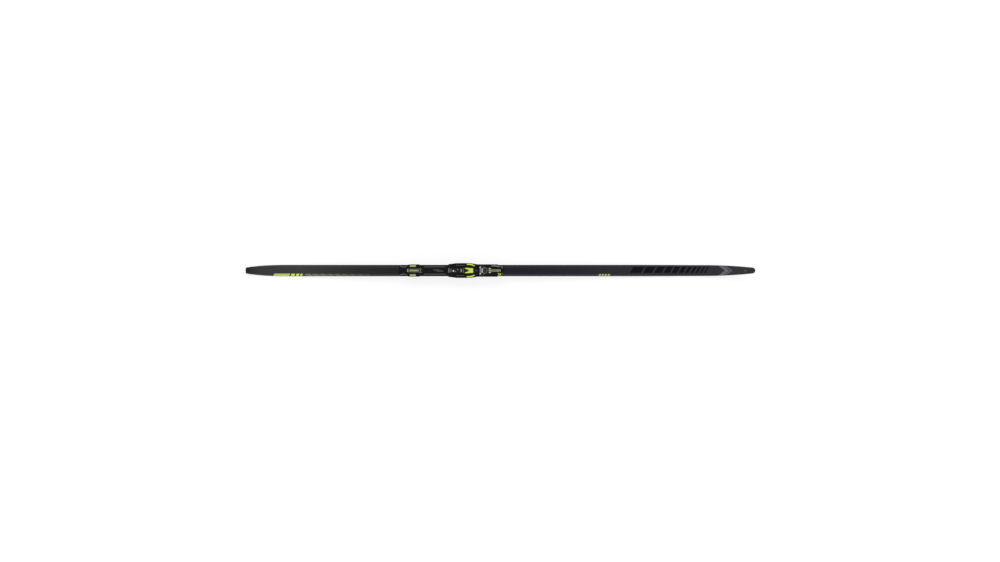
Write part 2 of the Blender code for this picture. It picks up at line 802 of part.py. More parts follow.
def build_plate():
    half = [(PEDESTAL_HALF, PLATE_LOW), (PEDESTAL_HALF, FLANGE_LOW)]
    half += [(FLANGE_HALF, FLANGE_LOW + FLANGE_SLOPE), (FLANGE_HALF, FLANGE_TOP)]
    plate = prism(
        "binding_plate", section_both(half), PLATE_REAR_X, PLATE_FRONT_X, "X", "plate_plastic", SKI
    )
    for name, start in (("toe_rack_cut", TOE_RACK_X), ("heel_rack_cut", HEEL_RACK_X)):
        slots = box(
            name,
            (start, start + RACK_SLOT),
            (-RACK_HALF, RACK_HALF),
            (FLANGE_TOP - RACK_DEEP, FLANGE_TOP + RACK_DEEP),
        )
        row = slots.modifiers.new("row", "ARRAY")
        row.count = RACK_COUNT
        row.use_relative_offset = False
        row.use_constant_offset = True
        row.constant_offset_displace = (RACK_PITCH, 0.0, 0.0)
        cut(plate, slots)


def slide_cut(name, first, last):
    """The undercut way that a unit runs along on the plate."""
    half = [(PEDESTAL_HALF + RUN, CHASSIS_LOW - OVER), (PEDESTAL_HALF + RUN, FLANGE_LOW - RUN)]
    half += [(FLANGE_HALF + RUN, FLANGE_LOW - RUN + FLANGE_SLOPE), (FLANGE_HALF + RUN, FLANGE_TOP + RUN)]
    return prism(name, section_both(half), first, last, "X")


def ridge_outline(rear_x, front_x):
    """Side view of a guide ridge with sloped ends, sunk a little into what carries it."""
    return [
        (rear_x, SOLE - BITE),
        (front_x, SOLE - BITE),
        (front_x, SOLE),
        (front_x - RIDGE_RAMP, RIDGE_TOP),
        (rear_x + RIDGE_RAMP, RIDGE_TOP),
        (rear_x, SOLE),
    ]


def wing_outline(sign, wide):
    """Corners of the left (1) or right (-1) wing, grown by wide on every side."""
    ends = {WING_REAR_X: WING_REAR_X - wide, WING_FRONT_X: WING_FRONT_X + wide}
    corners = [(ends.get(x, x), y - wide, radius) for x, y, radius in WING_INNER]
    corners += [(ends.get(x, x), y + wide, radius) for x, y, radius in WING_OUTER]
    if sign < 0:
        return mirrored(corners)
    return corners


def pin_way(name, pin_x, reach):
    """The groove under a cover that a latch pin lies in."""
    room = LATCH_PIN_RADIUS + GAP
    end = reach + PIN_END_ROOM
    return box(name, (pin_x - room, pin_x + room), (-end, end), (COVER_LOW - OVER, LATCH_PIN_Z + room))


def build_toe_unit():
    chassis = prism(
        "toe_chassis", fillet(both_sides(TOE_CORNERS)), CHASSIS_LOW, CHASSIS_TOP, "Z", "binding_plastic", TOE
    )
    shaft = box(
        "toe_latch_shaft",
        TOE_SHAFT_X,
        (-TOE_WINDOW_HALF, TOE_WINDOW_HALF),
        (FLANGE_TOP - OVER, CHASSIS_TOP + OVER),
    )
    cut(chassis, slide_cut("toe_slide_cut", TOE_REAR_X - OVER, TOE_CHANNEL_END_X), shaft)
    for side, sign in (("left", 1), ("right", -1)):
        rail = box(
            side + "_jaw_rail",
            (JAW_RAIL_REAR_X, NOSE_REAR_X - GAP),
            on_side(sign, JAW_RAIL_INNER, JAW_RAIL_OUTER),
            (CHASSIS_TOP - BITE, JAW_RAIL_TOP),
        )
        join(chassis, rail)
        pocket = box(
            side + "_ear_pocket",
            (EAR_REAR_X - EAR_ROOM, EAR_FRONT_X + EAR_ROOM),
            on_side(sign, EAR_INNER - SNUG, EAR_OUTER + GAP),
            (EAR_FLOOR, CHASSIS_TOP + OVER),
        )
        cut(chassis, pocket)
        hole = rod(
            side + "_screw_hole",
            SCREW_SHANK + GAP,
            SCREW_HOLE_LOW,
            CHASSIS_TOP,
            (SCREW_X, sign * SCREW_Y),
        )
        cut(chassis, hole)

    outline = fillet(both_sides(PLATFORM_CORNERS))
    platform = prism("toe_platform", outline, SKIRT_LOW, SOLE, "Z", "binding_plastic", TOE)
    soften(platform, PLATFORM_EDGE)
    inside = drawn_in(PLATFORM_CORNERS, PLATFORM_WALL, PLATFORM_WALL)
    hollow = prism("platform_hollow", fillet(both_sides(inside)), SKIRT_LOW - OVER, COVER_LOW)
    front_room = box(
        "platform_front_room",
        PLATFORM_FRONT_ROOM_X,
        (-PAST_SIDES, PAST_SIDES),
        (SKIRT_LOW - OVER, COVER_LOW),
    )
    rear_room = box(
        "platform_rear_room",
        PLATFORM_REAR_ROOM_X,
        (-TOE_HALF - GAP, TOE_HALF + GAP),
        (SKIRT_LOW - OVER, COVER_LOW),
    )
    cut(platform, hollow, front_room, rear_room)
    for side, sign in (("left", 1), ("right", -1)):
        ridge = prism(
            side + "_toe_ridge",
            ridge_outline(TOE_RIDGE_REAR_X, TOE_RIDGE_FRONT_X),
            *on_side(sign, RIDGE_INNER, RIDGE_OUTER),
            "Y",
        )
        join(platform, ridge)
        seat = fillet(wing_outline(sign, GAP))
        cut(platform, prism(side + "_wing_seat", seat, WING_LOW - GAP, WING_TOP + OVER))
    window = prism(
        "toe_latch_window",
        rounded_box(TOE_WINDOW_X, (-TOE_WINDOW_HALF, TOE_WINDOW_HALF), TOE_WINDOW_CORNER),
        COVER_LOW - OVER,
        SOLE + OVER,
    )
    pad_seat = prism(
        "pad_seat",
        rounded_box((PAD_REAR_X - GAP, PAD_FRONT_X + GAP), (-PAD_HALF - GAP, PAD_HALF + GAP), PAD_CORNER),
        PAD_LOW - GAP,
        SOLE + OVER,
    )
    plug_seat = rod("plug_seat", PLUG_RADIUS + GAP, PLUG_LOW - GAP, SOLE + OVER, (PLUG_X, 0.0))
    cut(platform, window, pad_seat, plug_seat, pin_way("toe_pin_way", TOE_LATCH_PIN_X, TOE_PIN_REACH))

    pad = prism(
        "grip_pad",
        rounded_box((PAD_REAR_X, PAD_FRONT_X), (-PAD_HALF, PAD_HALF), PAD_CORNER),
        PAD_LOW,
        PAD_TOP,
        "Z",
        "pad_rubber",
        TOE,
    )
    soften(pad, PAD_EDGE)
    rod("rubber_plug", PLUG_RADIUS, PLUG_LOW, PLUG_TOP, (PLUG_X, 0.0), "Z", "pad_rubber", TOE, 24)
    for side, sign in (("left", 1), ("right", -1)):
        outline = fillet(wing_outline(sign, 0.0), 4)
        wing = prism(side + "_toe_wing", outline, WING_LOW, WING_TOP, "Z", "lime_plastic", TOE)
        soften(wing, WING_EDGE)


def build_jaws():
    hook_rear = BAR_X + SLOT_HALF
    hook_front = hook_rear + HOOK_THICK
    hook = [(hook_rear, JAW_LOW), (hook_front, JAW_LOW), (hook_front, JAW_TOP - HOOK_CHAMFER)]
    hook += [(hook_front - HOOK_CHAMFER, JAW_TOP), (BAR_X + LIP_GAP_HALF, JAW_TOP)]
    hook += [(BAR_X + LIP_GAP_HALF, LIP_LOW), (hook_rear, LIP_LOW)]
    fixed = prism("fixed_jaw", hook, -JAW_HALF, JAW_HALF, "Y", "jaw_steel", TOE)
    for side, sign in (("left", 1), ("right", -1)):
        screw_at = (SCREW_X, sign * SCREW_Y)
        leg = box(
            side + "_jaw_leg",
            (hook_rear + SNUG, hook_front - SNUG),
            on_side(sign, EAR_INNER + SNUG, JAW_HALF - SNUG),
            (EAR_LOW + SNUG, JAW_LOW + JAW_SINK),
        )
        ear = prism(
            side + "_jaw_ear",
            rounded_box((EAR_REAR_X, EAR_FRONT_X), on_side(sign, EAR_INNER, EAR_OUTER), EAR_CORNER),
            EAR_LOW,
            EAR_TOP,
        )
        join(fixed, leg, ear)
        hole = rod(side + "_ear_hole", SCREW_SHANK + GAP, EAR_LOW - OVER, EAR_TOP + OVER, screw_at)
        cut(fixed, hole)
        screw = rod(
            side + "_jaw_screw",
            SCREW_HEAD,
            SCREW_HEAD_LOW,
            SCREW_HEAD_TOP,
            screw_at,
            "Z",
            "pin_steel",
            TOE,
            24,
        )
        shank = rod(side + "_screw_shank", SCREW_SHANK, SCREW_HOLE_LOW + GAP, SCREW_SHANK_TOP, screw_at)
        socket = rod(
            side + "_screw_socket", SCREW_SOCKET, SCREW_SOCKET_LOW, SCREW_HEAD_TOP + OVER, screw_at, sides=6
        )
        join(screw, shank)
        cut(screw, socket)

    wedge = [(JAW_REAR_X, JAW_LOW), (BAR_X - SLOT_HALF, JAW_LOW), (BAR_X - SLOT_HALF, LIP_LOW)]
    wedge += [(BAR_X - LIP_GAP_HALF, LIP_LOW), (BAR_X - LIP_GAP_HALF, JAW_TOP), (JAW_CREST_X, JAW_TOP)]
    wedge += [(JAW_REAR_X, JAW_LOW + JAW_BLUNT)]
    sliding = prism("sliding_jaw", wedge, -JAW_HALF, JAW_HALF, "Y", "jaw_steel", JAW)
    pin_x = PIVOT_X + CAM_ARM * math.cos(CAM_ANGLE)
    way = CAM_PIN + CAM_WAY_ROOM
    slider = prism(
        "jaw_slider",
        fillet(both_sides(SLIDER_CORNERS)),
        SLIDER_LOW,
        SLIDER_TOP,
        holes=[rounded_box((pin_x - way, pin_x + way), (-CAM_WAY_HALF, CAM_WAY_HALF), CAM_PIN)],
    )
    neck = box(
        "jaw_neck",
        (SLIDER_NECK_X, BAR_X - SLOT_HALF - SNUG),
        (-SLIDER_HALF + GAP, SLIDER_HALF - GAP),
        (SLIDER_NECK_LOW, JAW_LOW + JAW_SINK),
    )
    join(sliding, slider, neck)


def flexor_outline(inset):
    return [
        (FLEX_REAR_X, FLEX_HALF - inset, 0.0015),
        (FLEX_BEND_X, FLEX_HALF - inset, 0.004),
        (FLEX_FRONT_X - inset, FLEX_FRONT_HALF - inset, 0.004),
    ]


def lever_outline(hub, neck, end_x):
    """A round hub that runs out into a narrower neck with a rounded end."""
    outline = []
    start = math.asin(neck / hub) + HUB_TURN
    for i in range(HUB_STEPS + 1):
        angle = start + (2 * math.pi - 2 * start) * i / HUB_STEPS
        outline.append((PIVOT_X + hub * math.cos(angle), hub * math.sin(angle), 0))
    throat_x = PIVOT_X + hub + neck * NECK_START
    outline.append((throat_x, -neck, THROAT_CORNER))
    outline.append((end_x, -neck, neck * NECK_END_ROUND))
    outline.append((end_x, neck, neck * NECK_END_ROUND))
    outline.append((throat_x, neck, THROAT_CORNER))
    return fillet(outline)


def build_nose():
    outline = fillet(both_sides(drawn_in(NOSE_CORNERS, SNUG, 0.0)))
    cover = prism("nose_cover", outline, COVER_LOW, NOSE_TOP, "Z", "binding_plastic", TOE)
    soften(cover, NOSE_EDGE, 2)
    way_start = (FLEX_REAR_X - 2 * OVER, FLEX_HALF + GAP, 0)
    flex_way = prism(
        "flexor_way",
        fillet(both_sides([way_start] + flexor_outline(-GAP)[1:])),
        COVER_LOW - OVER,
        NOSE_TOP + OVER,
    )
    foot_room = box(
        "flexor_foot_room",
        (NOSE_REAR_X - OVER, FOOT_ROOM_FRONT_X),
        (-FOOT_ROOM_HALF, FOOT_ROOM_HALF),
        (COVER_LOW - OVER, FOOT_ROOM_TOP),
    )
    slider_room = box(
        "slider_room",
        (NOSE_REAR_X - OVER, SLIDER_ROOM_FRONT_X),
        (-SLIDER_ROOM_HALF, SLIDER_ROOM_HALF),
        (COVER_LOW - OVER, SLIDER_ROOM_TOP),
    )
    pivot = (PIVOT_X, 0.0)
    hub_hole = rod("hub_hole", BUSH_RADIUS + GAP, COVER_LOW - OVER, NOSE_TOP + OVER, pivot, sides=28)
    cut(cover, flex_way, foot_room, slider_room, hub_hole)

    outline = fillet(both_sides(flexor_outline(0.0)))
    flexor = prism("flexor", outline, FLEX_LOW, FLEX_TOP, "Z", "flexor_rubber", TOE)
    soften(flexor, FLEX_EDGE)
    foot = prism(
        "flexor_foot",
        rounded_box((FLEX_REAR_X + GAP, FOOT_FRONT_X), (-FOOT_HALF, FOOT_HALF), FOOT_CORNER),
        FOOT_LOW,
        FOOT_TOP,
    )
    well = prism(
        "flexor_well",
        rounded_box(WELL_X, (-WELL_HALF, WELL_HALF), WELL_CORNER),
        FLEX_TOP - WELL_DEEP,
        FLEX_TOP + OVER,
    )
    join(flexor, foot)
    cut(flexor, well)

    bush = rod("lever_bush", BUSH_RADIUS, BUSH_LOW, NOSE_TOP, pivot, "Z", "bush_polymer", TOE, 28)
    cut(bush, rod("bush_bore", SHAFT_RADIUS + GAP, SLIDER_TOP, NOSE_TOP + OVER, pivot, sides=28))


def build_lever():
    pivot = (PIVOT_X, 0.0)
    outline = lever_outline(HUB_RADIUS, NECK_HALF, LEVER_END_X)
    lever = prism("turn_lever", outline, LEVER_LOW, LEVER_TOP, "Z", "binding_plastic", LEVER)
    soften(lever, LEVER_EDGE)
    head_room = rod(
        "lever_screw_seat", LEVER_HEAD + LEVER_SCREW_ROOM, LEVER_SEAT_LOW, LEVER_TOP + OVER, pivot
    )
    shank_way = rod(
        "lever_screw_way", LEVER_SHANK + LEVER_SCREW_ROOM, LEVER_LOW - OVER, LEVER_TOP, pivot, sides=12
    )
    cut(lever, head_room, shank_way)

    outline = fillet(both_sides(INLAY_CORNERS))
    inlay = prism("lever_inlay", outline, LEVER_TOP + GAP, INLAY_TOP, "Z", "grey_plastic", LEVER)
    soften(inlay, INLAY_EDGE)

    cam = rod("lever_cam", SHAFT_RADIUS, CAM_LOW, LEVER_LOW - GAP, pivot, "Z", "pin_steel", LEVER, 28)
    pin_at = (PIVOT_X + CAM_ARM * math.cos(CAM_ANGLE), CAM_ARM * math.sin(CAM_ANGLE))
    join(cam, rod("cam_pin", CAM_PIN, CHASSIS_TOP + SNUG, CAM_PIN_TOP, pin_at))
    cut(cam, rod("cam_thread", LEVER_SHANK + GAP, CAM_THREAD_LOW, LEVER_LOW, pivot, sides=12))

    head_low = LEVER_SEAT_LOW + GAP
    screw = rod("lever_screw", LEVER_HEAD, head_low, LEVER_TOP - SNUG, pivot, "Z", "pin_steel", LEVER)
    shank_low = CAM_THREAD_LOW + GAP
    join(screw, rod("lever_screw_shank", LEVER_SHANK, shank_low, LEVER_SEAT_LOW + BITE, pivot, sides=12))


def build_latch(name, outline, top, pawl_x, pin_x, holder, finish):
    """A latch that turns about a pin at its front and carries a pawl over the rack."""
    pin_at = (pin_x, LATCH_PIN_Z)
    lug_half = PAWL_HALF + LUG_SIDE
    latch = prism(name, fillet(outline), LATCH_LOW, top, "Z", finish, holder)
    soften(latch, LATCH_EDGE)
    pawl = box(name + "_pawl", pawl_x, (-PAWL_HALF, PAWL_HALF), (PAWL_LOW, LATCH_LOW + BITE))
    join(latch, pawl, rod(name + "_lug", LUG_RADIUS, -lug_half, lug_half, pin_at, "Y", sides=16))
    bore = rod(name + "_bore", LATCH_PIN_RADIUS + GAP, -PAST_SIDES, PAST_SIDES, pin_at, "Y", sides=16)
    spring_room = box(
        name + "_spring_room",
        (pin_x - SPRING_ROOM_REAR, pin_x + SPRING_ROOM_FRONT),
        (-SPRING_ROOM_HALF, SPRING_ROOM_HALF),
        (PAWL_LOW, SPRING_ROOM_TOP),
    )
    cut(latch, bore, spring_room)


def build_pin(name, pin_x, reach, holder):
    rod(name, LATCH_PIN_RADIUS, -reach, reach, (pin_x, LATCH_PIN_Z), "Y", "pin_steel", holder, 16)


def build_spring(name, pin_x, holder):
    """A short torsion coil round a latch pin."""
    coil = LATCH_PIN_RADIUS + GAP + SPRING_WIRE
    steps = SPRING_TURNS * SPRING_TURN_STEPS
    reach = SPRING_ROOM_HALF - GAP - 2 * SPRING_WIRE
    curve = bpy.data.curves.new(name, "CURVE")
    curve.dimensions = "3D"
    curve.bevel_depth = SPRING_WIRE
    curve.bevel_resolution = 0
    curve.use_fill_caps = True
    spline = curve.splines.new("POLY")
    spline.points.add(steps)
    for i, point in enumerate(spline.points):
        angle = 2 * math.pi * i / SPRING_TURN_STEPS
        along = -reach + 2 * reach * i / steps
        point.co = (pin_x + coil * math.cos(angle), along, LATCH_PIN_Z + coil * math.sin(angle), 1.0)
    source = bpy.data.objects.new(name + "_path", curve)
    CUTTERS.objects.link(source)
    bpy.context.view_layer.update()
    mesh = bpy.data.meshes.new_from_object(source.evaluated_get(bpy.context.evaluated_depsgraph_get()))
    bpy.data.objects.remove(source)
    shape = bmesh.new()
    shape.from_mesh(mesh)
    bmesh.ops.remove_doubles(shape, verts=shape.verts, dist=1e-6)
    new_piece(name, mesh_from(shape, name), "spring_steel", holder)


def build_latches():
    outline = [TOE_LATCH_NOTCH, *TOE_LATCH_CORNERS, *mirrored(TOE_LATCH_CORNERS)]
    build_latch(
        "toe_latch", outline, TOE_LATCH_TOP, TOE_PAWL_X, TOE_LATCH_PIN_X, TOE_LATCH, "lime_plastic"
    )
    build_pin("toe_latch_pin", TOE_LATCH_PIN_X, TOE_PIN_REACH, TOE)
    build_spring("toe_latch_spring", TOE_LATCH_PIN_X, TOE)
    outline = both_sides(HEEL_LATCH_CORNERS)
    build_latch(
        "heel_latch", outline, HEEL_LATCH_TOP, HEEL_PAWL_X, HEEL_LATCH_PIN_X, HEEL_LATCH, "grey_plastic"
    )
    build_pin("heel_latch_pin", HEEL_LATCH_PIN_X, HEEL_PIN_REACH, HEEL)
    build_spring("heel_latch_spring", HEEL_LATCH_PIN_X, HEEL)


def build_heel_unit():
    outline = fillet(both_sides(HEEL_CORNERS))
    chassis = prism("heel_chassis", outline, CHASSIS_LOW, CHASSIS_TOP, "Z", "binding_plastic", HEEL)
    drop = CHASSIS_TOP - TAIL_SLOPE_DROP
    slope = [(TAIL_SLOPE_START_X, CHASSIS_TOP + OVER), (TAIL_SLOPE_START_X, drop - BITE), (HEEL_REAR_X, drop)]
    slope += [(TAIL_SLOPE_END_X, CHASSIS_TOP + TAIL_SLOPE_RUN_OUT), (TAIL_SLOPE_END_X, CHASSIS_TOP + OVER)]
    tail_slope = prism("heel_tail_slope", slope, -PAST_SIDES, PAST_SIDES, "Y")
    channel = slide_cut("heel_slide_cut", HEEL_CHANNEL_END_X, HEEL_FRONT_X + OVER)
    shaft = box(
        "heel_latch_shaft",
        HEEL_SHAFT_X,
        (-HEEL_SHAFT_HALF, HEEL_SHAFT_HALF),
        (FLANGE_TOP - OVER, CHASSIS_TOP + OVER),
    )
    cut(chassis, tail_slope, channel, shaft)
    for side, sign in (("left", 1), ("right", -1)):
        fin = [(x, sign * y) for x, y in TAIL_FIN_CORNERS]
        join(chassis, prism(side + "_tail_fin", fin, FIN_LOW, FIN_TOP))

    outline = fillet(both_sides(HEEL_COVER_CORNERS))
    cover = prism("heel_cover", outline, COVER_LOW, SOLE, "Z", "binding_plastic", HEEL)
    soften(cover, HEEL_COVER_EDGE)
    for side, sign in (("left", 1), ("right", -1)):
        ridge = prism(
            side + "_heel_ridge",
            ridge_outline(HEEL_RIDGE_REAR_X, HEEL_RIDGE_FRONT_X),
            *on_side(sign, RIDGE_INNER, RIDGE_OUTER),
            "Y",
        )
        join(cover, ridge)
        seat = box(
            side + "_heel_pad_seat",
            (HEEL_PAD_REAR_X - GAP, HEEL_PAD_FRONT_X + GAP),
            on_side(sign, HEEL_PAD_INNER - GAP, PAST_SIDES),
            (COVER_LOW - OVER, SOLE + OVER),
        )
        cut(cover, seat)
        limits = on_side(sign, HEEL_PAD_INNER, HEEL_PAD_OUTER)
        heel_pad = prism(
            side + "_heel_pad",
            rounded_box((HEEL_PAD_REAR_X, HEEL_PAD_FRONT_X), limits, HEEL_PAD_CORNER),
            COVER_LOW,
            HEEL_PAD_TOP,
            "Z",
            "lime_rubber",
            HEEL,
        )
        soften(heel_pad, HEEL_PAD_EDGE)
    opening = fillet(both_sides(HEEL_WINDOW_CORNERS))
    window = prism("heel_latch_window", opening, COVER_LOW - OVER, SOLE + OVER)
    cut(cover, window, pin_way("heel_pin_way", HEEL_LATCH_PIN_X, HEEL_PIN_REACH))


clear_scene()
PARTS, CUTTERS = make_collections()
MATERIALS = make_finishes()
SKI = make_holder("ski_origin", (0.0, 0.0, 0.0))
TOE = make_holder("toe_unit_slide", (PIVOT_X, 0.0, FLANGE_TOP), SKI)
LEVER = make_holder("turn_lever_pivot", (PIVOT_X, 0.0, LEVER_LOW), TOE)
JAW = make_holder("sliding_jaw_slide", (BAR_X, 0.0, SLIDER_LOW), TOE)
TOE_LATCH = make_holder("toe_latch_pivot", (TOE_LATCH_PIN_X, 0.0, LATCH_PIN_Z), TOE)
HEEL = make_holder("heel_unit_slide", (HEEL_LATCH_PIN_X, 0.0, FLANGE_TOP), SKI)
HEEL_LATCH = make_holder("heel_latch_pivot", (HEEL_LATCH_PIN_X, 0.0, LATCH_PIN_Z), HEEL)
build_ski()
build_plate()
build_toe_unit()
build_jaws()
build_nose()
build_lever()
build_latches()
build_heel_unit()
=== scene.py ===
"""Looks of the cross country ski and its binding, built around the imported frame."""

import json
import math

import bmesh
import bpy
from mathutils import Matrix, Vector

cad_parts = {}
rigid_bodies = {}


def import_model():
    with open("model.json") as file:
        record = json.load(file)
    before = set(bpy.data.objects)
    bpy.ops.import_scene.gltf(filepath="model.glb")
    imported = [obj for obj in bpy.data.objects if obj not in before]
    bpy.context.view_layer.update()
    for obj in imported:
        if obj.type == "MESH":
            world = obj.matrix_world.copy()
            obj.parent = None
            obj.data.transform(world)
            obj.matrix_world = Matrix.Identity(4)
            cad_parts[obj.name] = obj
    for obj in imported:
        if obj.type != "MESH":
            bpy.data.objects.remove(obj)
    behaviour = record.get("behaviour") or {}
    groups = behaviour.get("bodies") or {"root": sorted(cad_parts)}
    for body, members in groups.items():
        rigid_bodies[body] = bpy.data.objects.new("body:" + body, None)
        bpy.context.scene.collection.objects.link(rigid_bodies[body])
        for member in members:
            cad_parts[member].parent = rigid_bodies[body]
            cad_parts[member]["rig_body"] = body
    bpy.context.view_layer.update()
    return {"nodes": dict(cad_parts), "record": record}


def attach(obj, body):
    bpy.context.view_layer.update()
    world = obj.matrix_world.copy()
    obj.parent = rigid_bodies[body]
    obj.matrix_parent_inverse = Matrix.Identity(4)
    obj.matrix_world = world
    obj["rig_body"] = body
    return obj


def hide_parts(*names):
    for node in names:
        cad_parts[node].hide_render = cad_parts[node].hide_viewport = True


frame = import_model()
NODES = frame["nodes"]
PLACE_DIGITS = 5


def top_of(name):
    """Height of a solid's highest point, to a hundredth of a millimetre."""
    return round(max(vert.co.z for vert in NODES[name].data.vertices), PLACE_DIGITS)


def middle_of(name):
    """Place along the ski of a solid's middle, to a hundredth of a millimetre."""
    reach = [vert.co.x for vert in NODES[name].data.vertices]
    return round((min(reach) + max(reach)) / 2, PLACE_DIGITS)


# Photograph: the ski's middle stands above the middle of the picture by PHOTO_RISE pixels
IMAGE_WIDE = 1000
METRES_PER_PIXEL = 0.003870
PHOTO_RISE = 10.45
LENS_MM = 135.0
SENSOR_MM = 36.0
SEEN_TO = 100.0

# Ski outline, as in the solids
HALF_LENGTH = 0.985
WAIST_HALF = 0.0220
FORE_HALF = 0.0210
SIDECUT_START_X = 0.50
SIDECUT_END_X = 0.85
TAIL_TAPER = 0.170
TAIL_END_HALF = 0.0115
TAIL_POWER = 2.6
TIP_TAPER = 0.190
TIP_END_HALF = 0.0105
TIP_POWER = 2.0
CAMBER = 0.020
REAR_CONTACT_X = -0.86
ARCH_REAR_X = -0.41
ARCH_FRONT_X = 0.03
FRONT_CONTACT_X = 0.72
TIP_BEND_X = 0.70
TIP_RISE = 0.066
TIP_BEND_POWER = 2.2
TAIL_BEND_X = -0.88
TAIL_RISE = 0.008
MID_THICK = 0.024
TAIL_THICK = 0.0080
TIP_THICK = 0.0070
SIDEWALL_SHARE = 0.50
CAP_THICK = 0.0010
CAP_SHIFT = 0.0013
CAP_RUN_END = 0.0035
CAP_RUN_MID = 0.0080
CAP_LIP = 0.0008
SHOULDER_DROP = 0.30
SHOULDER_REACH = 0.45
SHOULDER_STEPS = 7
LAYERS_TAIL_X = -0.967
LAYERS_TIP_X = 0.957
GAP = 0.0003

# Sections of the finer top sheet along each stretch of the ski
TAIL_ROWS_X = -0.85
TAIL_ROWS = 26
REAR_ROWS = 34
FORE_ROWS = 46
TIP_ROWS = 52
SHARP_ANGLE = 38

# How the solids are dressed
LEVEL_FACE = 0.9
WELD_REACH = 0.00001
NODE_EDGE = 0.00018
NODE_EDGE_ANGLE = 28
NODE_LOOKS = {
    # The tip cap's lighter grey carries the top sheet's painted sheen onto the cap
    "tip_protector": "tip_cap",
    # Wings in dark olive: painted shade on their sloping sides, under lighter lime blades
    "left_toe_wing": "painted_shade_lime",
    "right_toe_wing": "painted_shade_lime",
    "left_heel_pad": "olive_rubber",
    "right_heel_pad": "olive_rubber",
    "fixed_jaw": "dark_steel",
    "left_jaw_screw": "black_steel",
    "right_jaw_screw": "black_steel",
    # Toe latch in dark olive: painted shade on its falling sides round the lime face
    "toe_latch": "painted_shade_lime",
}

# Pieces: body, finish, slot and width of the rounded edges, which is nothing on flat prints
PIECES = {
    "top_sheet_skin": ("ski", "top_sheet_black", "top_sheet_black", 0.0),
    "tail_slashes": ("ski", "lime_print", "top_sheet_black", 0.0),
    "tail_fading_lines": ("ski", "fading_print", "top_sheet_black", 0.0),
    "fore_slashes": ("ski", "soft_lime_print", "top_sheet_black", 0.0),
    "gloss_stripes": ("ski", "gloss_print", "top_sheet_black", 0.0),
    "tip_chevrons": ("ski", "grey_print", "top_sheet_black", 0.0),
    "tip_painted_highlight_ticks": ("ski", "grey_print", "top_sheet_black", 0.0),
    "pad_ribs": ("toe_unit", "pad_rubber", "pad_rubber", 0.00015),
    "pad_rear_treads": ("toe_unit", "grey_rubber", "pad_rubber", 0.00012),
    "pad_square_mark": ("toe_unit", "white_print", "pad_rubber", 0.0),
    "pad_line_marks": ("toe_unit", "light_print_and_highlight", "pad_rubber", 0.0),
    "plug_rings": ("toe_unit", "grey_rubber", "pad_rubber", 0.0),
    "platform_edge_painted_highlights": ("toe_unit", "edge_highlight_grey", "binding_plastic", 0.0001),
    "platform_rear_lip": ("toe_unit", "light_print_and_highlight", "binding_plastic", 0.0001),
    "latch_window_lip": ("toe_unit", "grey_print", "binding_plastic", 0.0001),
    # Wing blades in lighter, paler lime: a painted highlight along the wing crests
    "wing_blades": ("toe_unit", "painted_highlight_lime", "lime_plastic", 0.0005),
    # Dark band along the toe latch's notch: painted shade that deepens the notch
    "toe_latch_notch_painted_shade": ("toe_latch", "pad_rubber", "lime_plastic", 0.0),
    "toe_latch_face": ("toe_latch", "lime_plastic", "lime_plastic", 0.00025),
    "toe_latch_ridges": ("toe_latch", "lime_plastic", "lime_plastic", 0.0002),
    "jaw_ribs": ("sliding_jaw", "pin_steel", "jaw_steel", 0.0001),
    "jaw_crest_painted_highlights": ("sliding_jaw", "painted_highlight_steel", "jaw_steel", 0.0001),
    "ear_studs": ("toe_unit", "painted_highlight_steel", "jaw_steel", 0.0003),
    "flexor_rim": ("toe_unit", "mid_grey_and_highlight", "flexor_rubber", 0.0),
    "nose_stripe_and_painted_highlights": ("toe_unit", "light_print_and_highlight", "binding_plastic", 0.0001),
    "nose_chevrons": ("toe_unit", "lime_print", "binding_plastic", 0.0),
    "lever_ribs": ("turn_lever", "pale_plastic", "grey_plastic", 0.00018),
    "lever_tip_ribs": ("turn_lever", "pale_olive", "grey_plastic", 0.0002),
    "lever_spokes": ("turn_lever", "pale_lime", "grey_plastic", 0.0003),
    "lever_rear_arc": ("turn_lever", "mid_grey_and_highlight", "grey_plastic", 0.0001),
    "heel_dashes": ("heel_unit", "dim_print", "binding_plastic", 0.0),
    "heel_ridge_painted_highlights": ("heel_unit", "edge_highlight_grey", "binding_plastic", 0.0),
    "heel_pad_blocks": ("heel_unit", "lime_rubber", "lime_rubber", 0.0003),
    "tail_fin_painted_highlights": ("heel_unit", "light_print_and_highlight", "binding_plastic", 0.00012),
    "heel_latch_rails": ("heel_latch", "mid_grey_and_highlight", "grey_plastic", 0.0002),
    "heel_latch_spine": ("heel_latch", "pale_olive", "grey_plastic", 0.0002),
}
# Steps round an edge, and where a piece has more of them
USUAL_STEPS = 2
EDGE_STEPS = {"wing_blades": 3}
EDGE_ANGLE = 35

# Heights of the faces that carry details, from the solids, and steps from one face to the next
FACE_RISE = 0.0005
JAW_DROP = 0.0048
RIDGE_RISE = 0.0030
EAR_DROP = 0.0027
PAD_TOP = top_of("grip_pad")
PLUG_TOP = top_of("rubber_plug")
WING_TOP = top_of("left_toe_wing")
TOE_LATCH_TOP = top_of("toe_latch")
TOE_LATCH_FACE = TOE_LATCH_TOP + FACE_RISE
JAW_TOP = top_of("sliding_jaw")
JAW_FOOT = JAW_TOP - JAW_DROP
FLEX_TOP = top_of("flexor")
NOSE_TOP = top_of("nose_cover")
LEVER_TOP = top_of("turn_lever")
INLAY_TOP = top_of("lever_inlay")
FIN_TOP = top_of("heel_chassis")
RIDGE_TOP = top_of("heel_cover")
SOLE = RIDGE_TOP - RIDGE_RISE
EAR_TOP = SOLE - EAR_DROP
HEEL_PAD_TOP = top_of("left_heel_pad")
HEEL_LATCH_TOP = top_of("heel_latch")

# Prints on the top sheet: how far they stand above it and reach into it; steps along and across each patch
PRINT_LIFT = 0.00006
PRINT_SINK = 0.00012
ACROSS = 22
